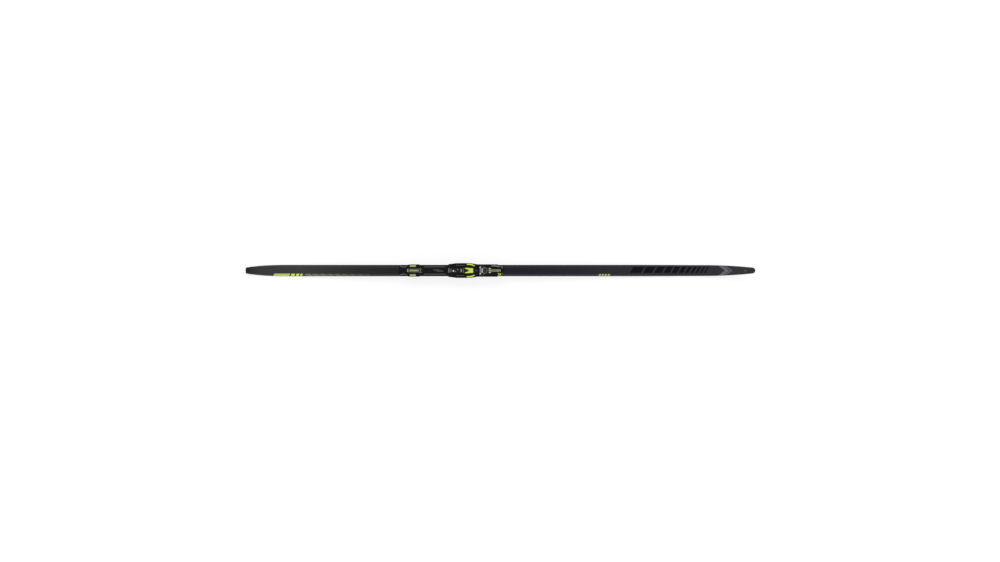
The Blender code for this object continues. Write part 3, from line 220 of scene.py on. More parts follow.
# Slashes as first and last place along the ski, limits across it and lean
TAIL_BARS = (
    (-0.8780, -0.8160, -0.0204, -0.0170, 0.0016),
    (-0.8757, -0.8137, -0.0156, -0.0122, 0.0016),
)
TAIL_BAR_STEPS = (8, ACROSS)
TAIL_BLOCKS_X = -0.8110
TAIL_BLOCK_WIDTHS = (0.0150, 0.0110, 0.0080)
TAIL_BLOCK_GAP = 0.0050
TAIL_BLOCK_SIDES = (-0.0204, -0.0122, 0.004)
TAIL_BLOCK_STEPS = (3, ACROSS)
# Two rows of lines that fade between two places along the ski
FADING_COUNT = 9
FADING_X = -0.7560
FADING_PITCH = 0.0285
FADING_LONG = 0.0240
FADING_OFFSET = 0.0070
FADING_INNER = (-0.0158, -0.0134, 0.0012)
FADING_OUTER = (-0.0202, -0.0180, 0.0012)
FADING_STEPS = (4, 8)
FADE_START_X = -0.76
FADE_END_X = -0.49
FORE_SLASH_COUNT = 4
FORE_SLASH_X = 0.3810
FORE_SLASH_PITCH = 0.0115
FORE_SLASH_WIDE = 0.0075
FORE_SLASH_SIDES = (-0.0200, -0.0138, 0.003)
FORE_SLASH_STEPS = (2, ACROSS)
# Gloss stripes that get narrower towards the tip
STRIPE_X = 0.503
STRIPE_WIDE = 0.0420
STRIPE_GAP = 0.0085
STRIPE_SHRINK = 0.82
STRIPE_LEAST = 0.0050
STRIPE_SIDES = (-0.0090, 0.0150, 0.0140)
STRIPE_STEPS = (5, 3 * ACROSS)
# Chevrons as start and width, ticks as start and reach; the ticks are a painted highlight at the tip's end
TIP_CHEVRONS = ((0.846, 0.017), (0.868, 0.006))
TIP_CHEVRON_SHARE = 0.90
TIP_CHEVRON_LEAD = 0.024
TIP_CHEVRON_STEPS = (4, 4 * ACROSS)
TIP_TICKS = ((0.9440, 0.0022), (0.9485, 0.0035))
TIP_TICK_WIDE = 0.0020
TIP_TICK_STEPS = (2, 8)

# Raised details reach into what carries them by SINK; paths hold x, y and width, marks x and y
SINK = 0.0002

# Grip pad and platform
PAD_RIBS_X = (-0.1925, -0.1465)
PAD_RIB_SPACES = 11
PAD_RIB_SIDES = (0.0074, 0.0104)
PAD_RIB_WIDE = 0.0016
PAD_RIB_RISE = 0.0005
TREADS_X = (-0.1938, -0.1862)
TREAD_SPACES = 4
TREAD_REACH = 0.0066
TREAD_WIDE = 0.0014
TREAD_RISE = 0.0003
# Grey lines along the platform's shoulder edges: a painted highlight
EDGE_LINE_X = (-0.1690, -0.1370)
EDGE_LINE_Y = 0.0196
EDGE_LINE_WIDE = 0.0013
EDGE_LINE_RISE = 0.0003
# Raised lip at the grip pad's rear edge, in light grey as a painted highlight
REAR_LIP = ((-0.1970, 0.0100, 0.0012), (-0.1977, 0.0060, 0.0020), (-0.1978, 0.0, 0.0020))
REAR_LIP_RISE = 0.0008
WINDOW_LIP = ((-0.1402, 0.0100, 0.0014), (-0.1411, 0.0052, 0.0026), (-0.1413, 0.0, 0.0030))
WINDOW_LIP_RISE = 0.0004
MARK_RISE = 0.0001
SQUARE_X = (-0.1822, -0.1778)
SQUARE_Y = (-0.0044, 0.0008)
SQUARE_CORNER = 0.0010
DOT_AT = (-0.1800, 0.0032)
DOT_RADIUS = 0.0007
LOW_DASH = ((-0.1745, -0.0044), (-0.1700, -0.0026))
LOW_DASH_WIDE = 0.0016
HIGH_DASH = ((-0.1660, 0.0056), (-0.1612, 0.0022))
HIGH_DASH_WIDE = 0.0018
BLOCKS_X = -0.1498
BLOCKS_Y = (-0.0042, 0.0, 0.0042)
BLOCK_HALF = 0.0017
BLOCK_WIDE = 0.0048
PLUG_X = middle_of("rubber_plug")
RING_INSIDES = (0.0020, 0.0038)
RING_WIDE = 0.0006
RING_RISE = 0.0003

# Wings and toe latch
# Blades along the wing crests, in lighter lime as a painted highlight; the wings round them carry painted
# shade
WING_BLADE = (
    (-0.1276, 0.0241, 0.0030),
    (-0.1180, 0.0240, 0.0035),
    (-0.1085, 0.0219, 0.0036),
    (-0.1018, 0.0191, 0.0028),
    (-0.0984, 0.0175, 0.0014),
)
BLADE_SINK = 0.0004
BLADE_RISE = 0.0008
# A dark band along the latch's V notch: painted shade in the notch
NOTCH_HALF = (
    (-0.1208, 0.0),
    (-0.1226, 0.0030),
    (-0.1262, 0.0042),
    (-0.1310, 0.0056),
    (-0.1367, 0.0073),
    (-0.1367, 0.0060),
    (-0.1232, 0.0),
)
NOTCH_SINK = 0.0005
NOTCH_RISE = 0.0002
FACE_HALF = (
    (-0.1200, 0.0),
    (-0.1222, 0.0036),
    (-0.1262, 0.0050),
    (-0.1336, 0.0067),
    (-0.1342, 0.0080),
    (-0.1334, 0.0094),
    (-0.1290, 0.0100),
    (-0.1180, 0.0094),
    (-0.1064, 0.0084),
    (-0.1046, 0.0066),
)
LATCH_RIDGES_X = (-0.1178, -0.1150, -0.1122)
LATCH_RIDGE_REACH = 0.0056
LATCH_RIDGE_WIDE = 0.0013
LATCH_RIDGE_RISE = 0.0005
SIDE_RIDGE_X = (-0.1250, -0.1080)
SIDE_RIDGE_Y = 0.0076
SIDE_RIDGE_TAPER = 0.92
SIDE_RIDGE_WIDE = 0.0011

# Jaw, ears and flexor
JAW_REAR_X = -0.0785
JAW_CREST_X = -0.0705
JAW_RIBS_X = (-0.0772, -0.0755, -0.0738, -0.0721)
JAW_REACH = 0.0084
JAW_RIB_WIDE = 0.0007
JAW_RIB_SINK = 0.0006
JAW_RIB_RISE = 0.0003
# Lines along the jaw's crest in near-white steel: a painted highlight
CREST_LINES_X = (-0.0695, -0.0683, -0.0671)
CREST_LINE_WIDE = 0.0008
CREST_LINE_RISE = 0.0002
# Studs as place, radius and rise; raised studs whose near-white steel is a painted highlight
STUDS = ((-0.0764, 0.0126, 0.0026, 0.0009), (-0.0622, 0.0108, 0.0012, 0.0007))
# Grey band round the flexor's front rim: a painted highlight
FLEX_RIM = (
    (-0.0592, 0.0118, 0.0010),
    (-0.0550, 0.0110, 0.0014),
    (-0.0515, 0.0070, 0.0016),
    (-0.0511, 0.0, 0.0016),
)
FLEX_RIM_SINK = 0.0003
FLEX_RIM_RISE = 0.0002

# Nose: a grey print stripe along its side, and painted highlights on both front corners
NOSE_STRIPES = (
    (
        (-0.0345, 0.0178, 0.0012),
        (-0.0280, 0.0184, 0.0026),
        (-0.0190, 0.0180, 0.0030),
        (-0.0080, 0.0162, 0.0026),
        (-0.0006, 0.0142, 0.0012),
    ),
    ((0.0012, 0.0164, 0.0010), (0.0052, 0.0149, 0.0020), (0.0082, 0.0122, 0.0020), (0.0096, 0.0092, 0.0010)),
    ((0.0070, -0.0134, 0.0010), (0.0085, -0.0114, 0.0018), (0.0096, -0.0088, 0.0010)),
)
NOSE_STRIPE_RISE = 0.0002
NOSE_CHEVRONS_X = (-0.0086, -0.0022)
NOSE_CHEVRON_Y = -0.0150
NOSE_CHEVRON_HALF = 0.0048
NOSE_CHEVRON_WIDE = 0.0030
NOSE_CHEVRON_LEAD = 0.0034
NOSE_CHEVRON_RISE = 0.00015

# Lever
PIVOT_X = middle_of("lever_bush")
LEVER_ROWS = (-0.0032, 0.0, 0.0032)
LEVER_RIB_X = (-0.0300, -0.0155)
LEVER_RIB_WIDE = 0.0012
LEVER_TIP_X = (-0.0143, -0.0026)
LEVER_TIP_WIDE = 0.0014
LEVER_END_X = 0.0004
LEVER_END_REACH = 0.0038
LEVER_END_WIDE = 0.0022
LEVER_RIB_RISE = 0.0005
SIDE_SPOKE = ((-0.0424, 0.0084, 0.0034), (-0.0390, 0.0075, 0.0030), (-0.0335, 0.0046, 0.0014))
MIDDLE_SPOKE = ((-0.0428, 0.0, 0.0026), (-0.0390, 0.0, 0.0024), (-0.0335, 0.0, 0.0012))
SPOKE_RISE = 0.0007
ARC_RADIUS = 0.0110
ARC_TURNS = (143, 217)
ARC_STEPS = 12
ARC_WIDE = 0.0014
ARC_RISE = 0.0003

# Heel unit; dashes as place across the ski, start and stop
HEEL_DASHES = ((-0.0036, -0.2440, -0.2180), (0.0, -0.2530, -0.2230), (0.0036, -0.2590, -0.2340))
HEEL_DASH_WIDE = 0.0020
HEEL_DASH_RISE = 0.0002
# Grey lines along the heel cover's ridges: a painted highlight
RIDGE_LINE_X = (-0.2938, -0.2105)
RIDGE_LINE_Y = 0.0141
RIDGE_LINE_WIDE = 0.0022
RIDGE_LINE_RISE = 0.0001
HEEL_BLOCKS_X = (-0.3450, -0.3278)
HEEL_BLOCK_SPACES = 4
HEEL_BLOCK_SIDES = (0.0152, 0.0206)
HEEL_BLOCK_WIDE = 0.0036
HEEL_BLOCK_RISE = 0.0006
# Bands along the inner edges of the tail fins, in light grey as a painted highlight
FIN_EDGE = (
    (-0.3866, 0.0170, 0.0009),
    (-0.3780, 0.0149, 0.0013),
    (-0.3694, 0.0131, 0.0013),
    (-0.3640, 0.0150, 0.0012),
    (-0.3600, 0.0169, 0.0009),
)
FIN_EDGE_RISE = 0.0004
LATCH_RAIL = (
    (-0.3500, 0.0056, 0.0012),
    (-0.3240, 0.0056, 0.0012),
    (-0.3130, 0.0060, 0.0012),
    (-0.3052, 0.0072, 0.0012),
)
LATCH_END_X = -0.3570
LATCH_END_REACH = 0.0050
LATCH_END_WIDE = 0.0024
LATCH_SPINE = (
    (-0.3490, 0.0, 0.0014),
    (-0.3440, 0.0, 0.0030),
    (-0.3315, 0.0, 0.0026),
    (-0.3190, 0.0, 0.0030),
    (-0.3140, 0.0, 0.0014),
)
LATCH_DETAIL_RISE = 0.0006
SPINE_TEETH_X = (-0.3430, -0.3200)
SPINE_TOOTH_SPACES = 4
SPINE_TOOTH_SIDES = (0.0018, 0.0034)
SPINE_TOOTH_WIDE = 0.0012
SPINE_TOOTH_RISE = 0.0004

# Light: a dim white room, a high broad lamp on the left and a low one on the right
SKY_LEVEL = 0.75
FLOOR_HALF = 30.0
FLOOR_DROP = 0.0005
FLOOR_TONE = 0.36
FLOOR_ROUGH = 0.90
FLOOR_GLOW = 0.70
LAMPS = (
    ("high_lamp", (-0.15, 0.80, 1.0), 0.80, 34.0),
    ("low_lamp", (0.05, -1.0, 0.30), 0.80, 35.0),
)

# Colours in linear light
# Top sheet from tail to tip: share of the length, grey level and added blue; the black under the boot is the
# sheet's own, the lighter charcoal ends are painted sheen
SHEET_TONES_WITH_SHEEN = (
    (0.000, 0.0110, 0.0008),
    (0.032, 0.0300, 0.0008),
    (0.110, 0.0340, 0.0008),
    (0.166, 0.0225, 0.0008),
    (0.225, 0.0128, 0.0008),
    (0.290, 0.0075, 0.0014),
    (0.420, 0.0052, 0.0050),
    (0.560, 0.0052, 0.0068),
    (0.640, 0.0100, 0.0068),
    (0.700, 0.0140, 0.0060),
    (0.780, 0.0165, 0.0056),
    (0.910, 0.0180, 0.0036),
    (1.000, 0.0290, 0.0020),
)
SHEET_RED = 0.95
SHEET_BLUE = 1.02
GLOSS_BLACK = (0.0020, 0.0024, 0.0030)
BINDING_BLACK = (0.0036, 0.0036, 0.0040)
LIME = (0.600, 0.740, 0.060)
DIM_LIME = (0.270, 0.280, 0.140)
SOFT_LIME = (0.420, 0.480, 0.100)
GREY_LIME = (0.066, 0.069, 0.049)
PALE_GREY = (0.098, 0.104, 0.112)
MARK_WHITE = (0.75, 0.75, 0.74)
FADED_INK = (0.014, 0.014, 0.012)
WOOD_DARK = (0.44, 0.30, 0.17)
WOOD_LIGHT = (0.66, 0.52, 0.34)

# Grain of the finishes: noise scales per metre, pairs as least and most, depths in metres
SLOW_GRAIN_SHARE = 1 / 22.0
FINE_DETAIL = 3.0
SLOW_DETAIL = 2.0
COLOUR_STOPS = (0.30, 0.72)
ROUGH_SPREAD = 0.10
LEAST_ROUGH = 0.02
BUMP_DEEP = 0.0002
EVEN = (1.0, 1.0, 1.0)
LENGTHWISE = (0.04, 1.0, 1.0)
CROSSWISE = (1.0, 0.05, 1.0)
SHEET_STRETCH = (0.06, 1.0, 1.0)
SHEET_GRAIN = 900.0
SHEET_TONE_RANGE = (0.78, 1.22)
SHEET_ROUGH = (0.26, 0.38)
SHEET_BUMP = 0.06
SHEET_BUMP_DEEP = 0.0001
SHEET_SPECULAR = 0.15
INK_GRAIN = 1300.0
INK_BUMP = 0.03
INK_ROUGH = 0.40
INK_SPECULAR = 0.40
INK_VARY = 0.06
FADING_ROUGH = (0.32, 0.48)
FADING_SPECULAR = 0.30
WOOD_STRETCH = (0.08, 1.0, 1.0)
WOOD_RINGS = 160.0
WOOD_WANDER = 3.0
WOOD_ROUGH = (0.55, 0.75)
WOOD_BUMP = 0.15


def smooth_step(share):
    share = min(max(share, 0.0), 1.0)
    return share * share * (3 - 2 * share)


def spread(first, last, count):
    return [first + (last - first) * i / count for i in range(count + 1)]


def half_width(x):
    """Half of the ski's width at a place along it."""
    to_tail = x + HALF_LENGTH
    to_tip = HALF_LENGTH - x
    narrowing = smooth_step((x - SIDECUT_START_X) / (SIDECUT_END_X - SIDECUT_START_X))
    width = WAIST_HALF - (WAIST_HALF - FORE_HALF) * narrowing
    width -= (WAIST_HALF - TAIL_END_HALF) * max(0.0, 1 - to_tail / TAIL_TAPER) ** TAIL_POWER
    width -= (FORE_HALF - TIP_END_HALF) * max(0.0, 1 - to_tip / TIP_TAPER) ** TIP_POWER
    return width


def base_height(x):
    """Height of the ski's underside: camber, tip rise and tail rise."""
    rear = smooth_step((x - REAR_CONTACT_X) / (ARCH_REAR_X - REAR_CONTACT_X))
    front = smooth_step((FRONT_CONTACT_X - x) / (FRONT_CONTACT_X - ARCH_FRONT_X))
    tip = max(0.0, (x - TIP_BEND_X) / (HALF_LENGTH - TIP_BEND_X)) ** TIP_BEND_POWER
    tail = max(0.0, (TAIL_BEND_X - x) / (TAIL_BEND_X + HALF_LENGTH)) ** 2
    return CAMBER * min(rear, front) + TIP_RISE * tip + TAIL_RISE * tail


def thickness(x):
    """Thickness of the ski, greatest under the boot."""
    rear = smooth_step((x + HALF_LENGTH) / (ARCH_REAR_X + HALF_LENGTH))
    front = smooth_step((HALF_LENGTH - x) / (HALF_LENGTH - ARCH_FRONT_X))
    if rear < front:
        return TAIL_THICK + (MID_THICK - TAIL_THICK) * rear
    return TIP_THICK + (MID_THICK - TIP_THICK) * front


def cap_run(thick):
    """How far the cap's slope runs in from the side."""
    share = (thick - TIP_THICK) / (MID_THICK - TIP_THICK)
    return CAP_RUN_END + (CAP_RUN_MID - CAP_RUN_END) * share


def cap_outer(half, thick):
    """Right half of the cap's outside, from its lower lip to the flat of the top."""
    low = thick * SIDEWALL_SHARE + GAP
    run = cap_run(thick)
    side = Vector((half, low + CAP_LIP))
    corner = Vector((half - run, thick))
    onto_side = corner.lerp(side, SHOULDER_DROP)
    onto_top = Vector((corner.x - run * SHOULDER_REACH, thick))
    points = [Vector((half, low)), side, side.lerp(onto_side, 0.5)]
    for t in spread(0.0, 1.0, SHOULDER_STEPS):
        bent = onto_side * (1 - t) ** 2 + corner * 2 * t * (1 - t) + onto_top * t * t
        points.append(bent)
    points.append(Vector((onto_top.x * 0.5, thick)))
    return points


def top_height(x, y):
    """Height of the top sheet's outside at a place in plan."""
    profile = cap_outer(half_width(x), thickness(x))
    low = base_height(x)
    reach = abs(y)
    for outer, inner in zip(profile, profile[1:]):
        if inner.x <= reach <= outer.x and outer.x > inner.x:
            share = (reach - inner.x) / (outer.x - inner.x)
            return low + inner.y + (outer.y - inner.y) * share
    return low + thickness(x)


# Materials


def new_material(name):
    made = bpy.data.materials.new(name)
    made.use_nodes = True
    return made, made.node_tree.nodes, made.node_tree.links, made.node_tree.nodes["Principled BSDF"]


def scaled(colour, factor):
    return (*(min(1.0, c * factor) for c in colour), 1.0)


def coordinates(nodes, links, stretch):
    """Places on the part in metres of the frame, stretched along its axes."""
    place = nodes.new("ShaderNodeTexCoord")
    mapping = nodes.new("ShaderNodeMapping")
    mapping.inputs["Scale"].default_value = stretch
    links.new(place.outputs["Object"], mapping.inputs["Vector"])
    return mapping


def share_along(nodes, links, first, last):
    """Share of the way between two places along the ski."""
    place = nodes.new("ShaderNodeTexCoord")
    parts = nodes.new("ShaderNodeSeparateXYZ")
    links.new(place.outputs["Object"], parts.inputs["Vector"])
    along = nodes.new("ShaderNodeMapRange")
    along.inputs["From Min"].default_value = first
    along.inputs["From Max"].default_value = last
    links.new(parts.outputs["X"], along.inputs["Value"])
    return along.outputs["Result"]


def noise(nodes, links, mapping, scale, detail=FINE_DETAIL):
    made = nodes.new("ShaderNodeTexNoise")
    made.inputs["Scale"].default_value = scale
    made.inputs["Detail"].default_value = detail
    links.new(mapping.outputs["Vector"], made.inputs["Vector"])
    return made


def add_bump(nodes, links, shader, height, strength, distance):
    bump = nodes.new("ShaderNodeBump")
    bump.inputs["Strength"].default_value = strength
    bump.inputs["Distance"].default_value = distance
    links.new(height, bump.inputs["Height"])
    links.new(bump.outputs["Normal"], shader.inputs["Normal"])


def vary_rough(nodes, links, shader, factor, low, high):
    ranged = nodes.new("ShaderNodeMapRange")
    ranged.inputs["To Min"].default_value = low
    ranged.inputs["To Max"].default_value = high
    links.new(factor, ranged.inputs["Value"])
    links.new(ranged.outputs["Result"], shader.inputs["Roughness"])


def grained(
    name, colour, rough, specular=0.4, metal=0.0, grain=1400.0, bump=0.12, vary=0.16, stretch=EVEN
):
    """A material with fine grain in its relief and gloss, and slow change in its colour."""
    made, nodes, links, shader = new_material(name)
    mapping = coordinates(nodes, links, stretch)
    fine = noise(nodes, links, mapping, grain)
    slow = noise(nodes, links, mapping, grain * SLOW_GRAIN_SHARE, SLOW_DETAIL)
    ramp = nodes.new("ShaderNodeValToRGB")
    for stop, position, factor in zip(ramp.color_ramp.elements, COLOUR_STOPS, (1 - vary, 1 + vary)):
        stop.position = position
        stop.color = scaled(colour, factor)
    links.new(slow.outputs["Fac"], ramp.inputs["Fac"])
    links.new(ramp.outputs["Color"], shader.inputs["Base Color"])
    least = max(LEAST_ROUGH, rough - ROUGH_SPREAD)
    vary_rough(nodes, links, shader, fine.outputs["Fac"], least, min(1.0, rough + ROUGH_SPREAD))
    add_bump(nodes, links, shader, fine.outputs["Fac"], bump, BUMP_DEEP)
    shader.inputs["Specular IOR Level"].default_value = specular
    shader.inputs["Metallic"].default_value = metal
    return made


def ink(name, colour):
    return grained(name, colour, INK_ROUGH, INK_SPECULAR, grain=INK_GRAIN, bump=INK_BUMP, vary=INK_VARY)


def top_sheet_material():
    """Satin black under the boot, with painted sheen that lightens it to charcoal at both ends, and a fine
    lengthwise grain.
    """
    made, nodes, links, shader = new_material("top_sheet_satin")
    # Painted sheen: this ramp lightens the black towards both ends in place of reflected light
    fade = nodes.new("ShaderNodeValToRGB")
    ramp = fade.color_ramp
    for tone in SHEET_TONES_WITH_SHEEN[1:-1]:
        ramp.elements.new(tone[0])
    for stop, (position, grey, blue) in zip(ramp.elements, SHEET_TONES_WITH_SHEEN):
        stop.position = position
        stop.color = (grey * SHEET_RED, grey, grey * SHEET_BLUE + blue, 1.0)
    links.new(share_along(nodes, links, -HALF_LENGTH, HALF_LENGTH), fade.inputs["Fac"])
    grain = noise(nodes, links, coordinates(nodes, links, SHEET_STRETCH), SHEET_GRAIN)
    speckle = nodes.new("ShaderNodeMapRange")
    speckle.inputs["To Min"].default_value = SHEET_TONE_RANGE[0]
    speckle.inputs["To Max"].default_value = SHEET_TONE_RANGE[1]
    links.new(grain.outputs["Fac"], speckle.inputs["Value"])
    mix = nodes.new("ShaderNodeMix")
    mix.data_type = "RGBA"
    mix.blend_type = "MULTIPLY"
    mix.inputs["Factor"].default_value = 1.0
    links.new(fade.outputs["Color"], mix.inputs["A"])
    links.new(speckle.outputs["Result"], mix.inputs["B"])
    links.new(mix.outputs["Result"], shader.inputs["Base Color"])
    vary_rough(nodes, links, shader, grain.outputs["Fac"], *SHEET_ROUGH)
    add_bump(nodes, links, shader, grain.outputs["Fac"], SHEET_BUMP, SHEET_BUMP_DEEP)
    shader.inputs["Specular IOR Level"].default_value = SHEET_SPECULAR
    return made


def fading_material():
    """Lime ink that fades into the top sheet towards the binding."""
    made, nodes, links, shader = new_material("lime_fading_ink")
    ramp = nodes.new("ShaderNodeValToRGB")
    ramp.color_ramp.elements[0].color = (*DIM_LIME, 1.0)
    ramp.color_ramp.elements[1].color = (*FADED_INK, 1.0)
    links.new(share_along(nodes, links, FADE_START_X, FADE_END_X), ramp.inputs["Fac"])
    links.new(ramp.outputs["Color"], shader.inputs["Base Color"])
    fine = noise(nodes, links, coordinates(nodes, links, EVEN), INK_GRAIN)
    vary_rough(nodes, links, shader, fine.outputs["Fac"], *FADING_ROUGH)
    add_bump(nodes, links, shader, fine.outputs["Fac"], INK_BUMP, BUMP_DEEP)
    shader.inputs["Specular IOR Level"].default_value = FADING_SPECULAR
    return made


def wood_material():
    """Pale wood with its rings drawn out along the ski."""
    made, nodes, links, shader = new_material("core_wood_grain")
    rings = nodes.new("ShaderNodeTexWave")
    rings.bands_direction = "Y"
    rings.inputs["Scale"].default_value = WOOD_RINGS
    rings.inputs["Distortion"].default_value = WOOD_WANDER
    links.new(coordinates(nodes, links, WOOD_STRETCH).outputs["Vector"], rings.inputs["Vector"])
    ramp = nodes.new("ShaderNodeValToRGB")
    ramp.color_ramp.elements[0].color = (*WOOD_DARK, 1.0)
    ramp.color_ramp.elements[1].color = (*WOOD_LIGHT, 1.0)
    links.new(rings.outputs["Fac"], ramp.inputs["Fac"])
    links.new(ramp.outputs["Color"], shader.inputs["Base Color"])
    vary_rough(nodes, links, shader, rings.outputs["Fac"], *WOOD_ROUGH)
    add_bump(nodes, links, shader, rings.outputs["Fac"], WOOD_BUMP, BUMP_DEEP)
    return made


def make_materials():
    return {
        "running_base_black": grained(
            "base_ground", (0.012, 0.012, 0.013), 0.42, 0.4, grain=1700, bump=0.35, stretch=LENGTHWISE
        ),
        "fibre_laminate": grained("fibre_layer", (0.050, 0.050, 0.045), 0.60, grain=1500, stretch=LENGTHWISE),
        "core_wood": wood_material(),
        "sidewall_black": grained(
            "sidewall_satin", (0.010, 0.010, 0.011), 0.42, 0.35, grain=1100, stretch=LENGTHWISE
        ),
        "top_sheet_black": top_sheet_material(),
        "end_cap_plastic": grained("end_cap_moulded", (0.0070, 0.0070, 0.0076), 0.34, 0.18, bump=0.35),
        # Lighter grey on the tip cap: painted sheen matching the top sheet's lighter tip end
        "tip_cap": grained("tip_cap_moulded", (0.0240, 0.0240, 0.0260), 0.34, 0.15, bump=0.35),
        "plate_plastic": grained("plate_moulded", (0.010, 0.010, 0.011), 0.50, 0.35, bump=0.40),
        "binding_plastic": grained("binding_moulded", BINDING_BLACK, 0.40, 0.09, grain=1900, bump=0.45),
        "pad_rubber": grained("pad_rubber_matt", (0.0070, 0.0070, 0.0075), 0.70, 0.13, grain=1200, bump=0.70),
        "lime_plastic": grained("lime_moulded", LIME, 0.38, 0.45, grain=1600, bump=0.20, vary=0.06),
        # Lighter, paler lime: a painted highlight for the wing blades, above the lime's own colour
        "painted_highlight_lime": grained("painted_highlight_lime_moulded", (0.640, 0.760, 0.110), 0.36, 0.45, vary=0.05),
        # Dark olive: a shaded copy of the lime, painted shade for the sloping sides of the wings and toe
        # latch
        "painted_shade_lime": grained(
            "painted_shade_lime_moulded", (0.112, 0.136, 0.015), 0.42, 0.35, grain=1600, bump=0.20, vary=0.08
        ),
        "lime_rubber": grained("lime_rubber_matt", (0.460, 0.530, 0.130), 0.62, 0.35, bump=0.50, vary=0.07),
        "olive_rubber": grained("olive_rubber_matt", (0.120, 0.140, 0.030), 0.62, 0.35, bump=0.50),
        "grey_plastic": grained("grey_lime_moulded", GREY_LIME, 0.48, 0.40, bump=0.30, vary=0.10),
        "flexor_rubber": grained(
            "flexor_rubber_dense", (0.024, 0.024, 0.024), 0.62, 0.25, grain=1100, bump=0.55
        ),
        "jaw_steel": grained(
            "jaw_brushed", (0.13, 0.13, 0.135), 0.36, 0.5, 1.0, grain=2200, bump=0.10, stretch=CROSSWISE
        ),
        "dark_steel": grained(
            "dark_brushed", (0.060, 0.060, 0.063), 0.42, 0.5, 1.0, grain=2200, bump=0.10, stretch=CROSSWISE
        ),
        "black_steel": grained("blackened_turned", (0.022, 0.022, 0.024), 0.36, 0.5, 1.0, bump=0.10),
        "pin_steel": grained("pin_turned", (0.34, 0.34, 0.35), 0.28, 0.5, 1.0, grain=2400, bump=0.06),
        "spring_steel": grained("spring_wire", (0.45, 0.45, 0.46), 0.30, 0.5, 1.0, grain=2400, bump=0.06),
        "bush_polymer": grained("bush_moulded", (0.24, 0.24, 0.23), 0.50),
        "gloss_print": grained("gloss_black_print", GLOSS_BLACK, 0.16, 0.07, grain=900, bump=0.02),
        "grey_rubber": grained("grey_rubber_matt", (0.075, 0.075, 0.078), 0.60, 0.30, bump=0.50),
        # Mid grey for the heel latch rails and the lever's rear arc, and as a painted highlight on the
        # flexor's rim
        "mid_grey_and_highlight": grained("mid_grey_moulded_and_painted_highlight", (0.130, 0.132, 0.105), 0.45, 0.40, vary=0.08),
        "pale_plastic": grained("pale_grey_moulded", (0.300, 0.305, 0.225), 0.45, 0.40, vary=0.08),
        "pale_olive": grained("pale_olive_moulded", (0.360, 0.390, 0.165), 0.42, 0.40, vary=0.06),
        "pale_lime": grained("pale_lime_moulded", (0.560, 0.600, 0.270), 0.42, 0.40, vary=0.06),
        # Near-white steel: painted highlights on the jaw's crest and on the ear studs
        "painted_highlight_steel": grained(
            "painted_highlight_steel_edge", (0.70, 0.70, 0.72), 0.24, 0.5, 1.0, grain=2400, bump=0.05, stretch=CROSSWISE
        ),
        # Light grey: print on the nose's side, and a painted highlight on the pad's rear lip, the nose
        # corners and the tail fins
        "light_print_and_highlight": ink("light_grey_ink_and_painted_highlight", (0.280, 0.280, 0.310)),
        "lime_print": ink("lime_print_ink", LIME),
        "soft_lime_print": ink("soft_lime_print_ink", SOFT_LIME),
        "fading_print": fading_material(),
        # Pale grey ink for the tip chevrons, and as the tip ticks a painted highlight
        "grey_print": ink("grey_print_ink", PALE_GREY),
        "white_print": ink("white_print_ink", MARK_WHITE),
        "dim_print": ink("dim_grey_print_ink", (0.052, 0.052, 0.056)),
        # Grey for painted highlights along the platform's shoulders and the heel ridges
        "edge_highlight_grey": ink("painted_edge_highlight_grey", (0.095, 0.095, 0.102)),
    }


MATERIALS = make_materials()


# Building pieces


def place_piece(name, shape, smooth=False, replaced=()):
    """Makes a named piece from a bmesh, gives it its finish and edges, and lets it ride on its body."""
    body, finish, slot, edge = PIECES[name]
    bmesh.ops.recalc_face_normals(shape, faces=shape.faces)
    mesh = bpy.data.meshes.new(name)
    shape.to_mesh(mesh)
    shape.free()
    for face in mesh.polygons:
        face.use_smooth = smooth or edge > 0
    piece = bpy.data.objects.new(name, mesh)
    bpy.context.scene.collection.objects.link(piece)
    mesh.materials.append(MATERIALS[finish])
    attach(piece, body)
    if replaced:
        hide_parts(*replaced)
    if edge > 0:
        soften(piece, edge, EDGE_STEPS.get(name, USUAL_STEPS))
    return piece


def soften(piece, width, segments, angle=EDGE_ANGLE):
    """Rounds the edges that are sharper than an angle."""
    step = piece.modifiers.new("soft_edges", "BEVEL")
    step.width = width
    step.segments = segments
    step.limit_method = "ANGLE"
    step.angle_limit = math.radians(angle)
    step.harden_normals = True


def add_prism(shape, outline, low, high):
    """Adds an upright prism over an outline in plan."""
    bottom = [shape.verts.new((x, y, low)) for x, y in outline]
    top = [shape.verts.new((x, y, high)) for x, y in outline]
    shape.faces.new(bottom)
    shape.faces.new(top)
    count = len(outline)
    for i in range(count):
        j = (i + 1) % count
        shape.faces.new((bottom[i], bottom[j], top[j], top[i]))


def add_bar(shape, start, end, wide, low, high):
    """Adds a straight bar of one width between two points in plan."""
    first = Vector(start)
    last = Vector(end)
    side = (last - first).normalized().orthogonal() * (wide / 2)
    add_prism(shape, [first + side, first - side, last - side, last + side], low, high)


def rim_of(rows):
    """The points round the border of a grid of rows, in order."""
    rim = rows[0] + [row[-1] for row in rows[1:]]
    return rim + rows[-1][-2::-1] + [row[0] for row in rows[-2:0:-1]]


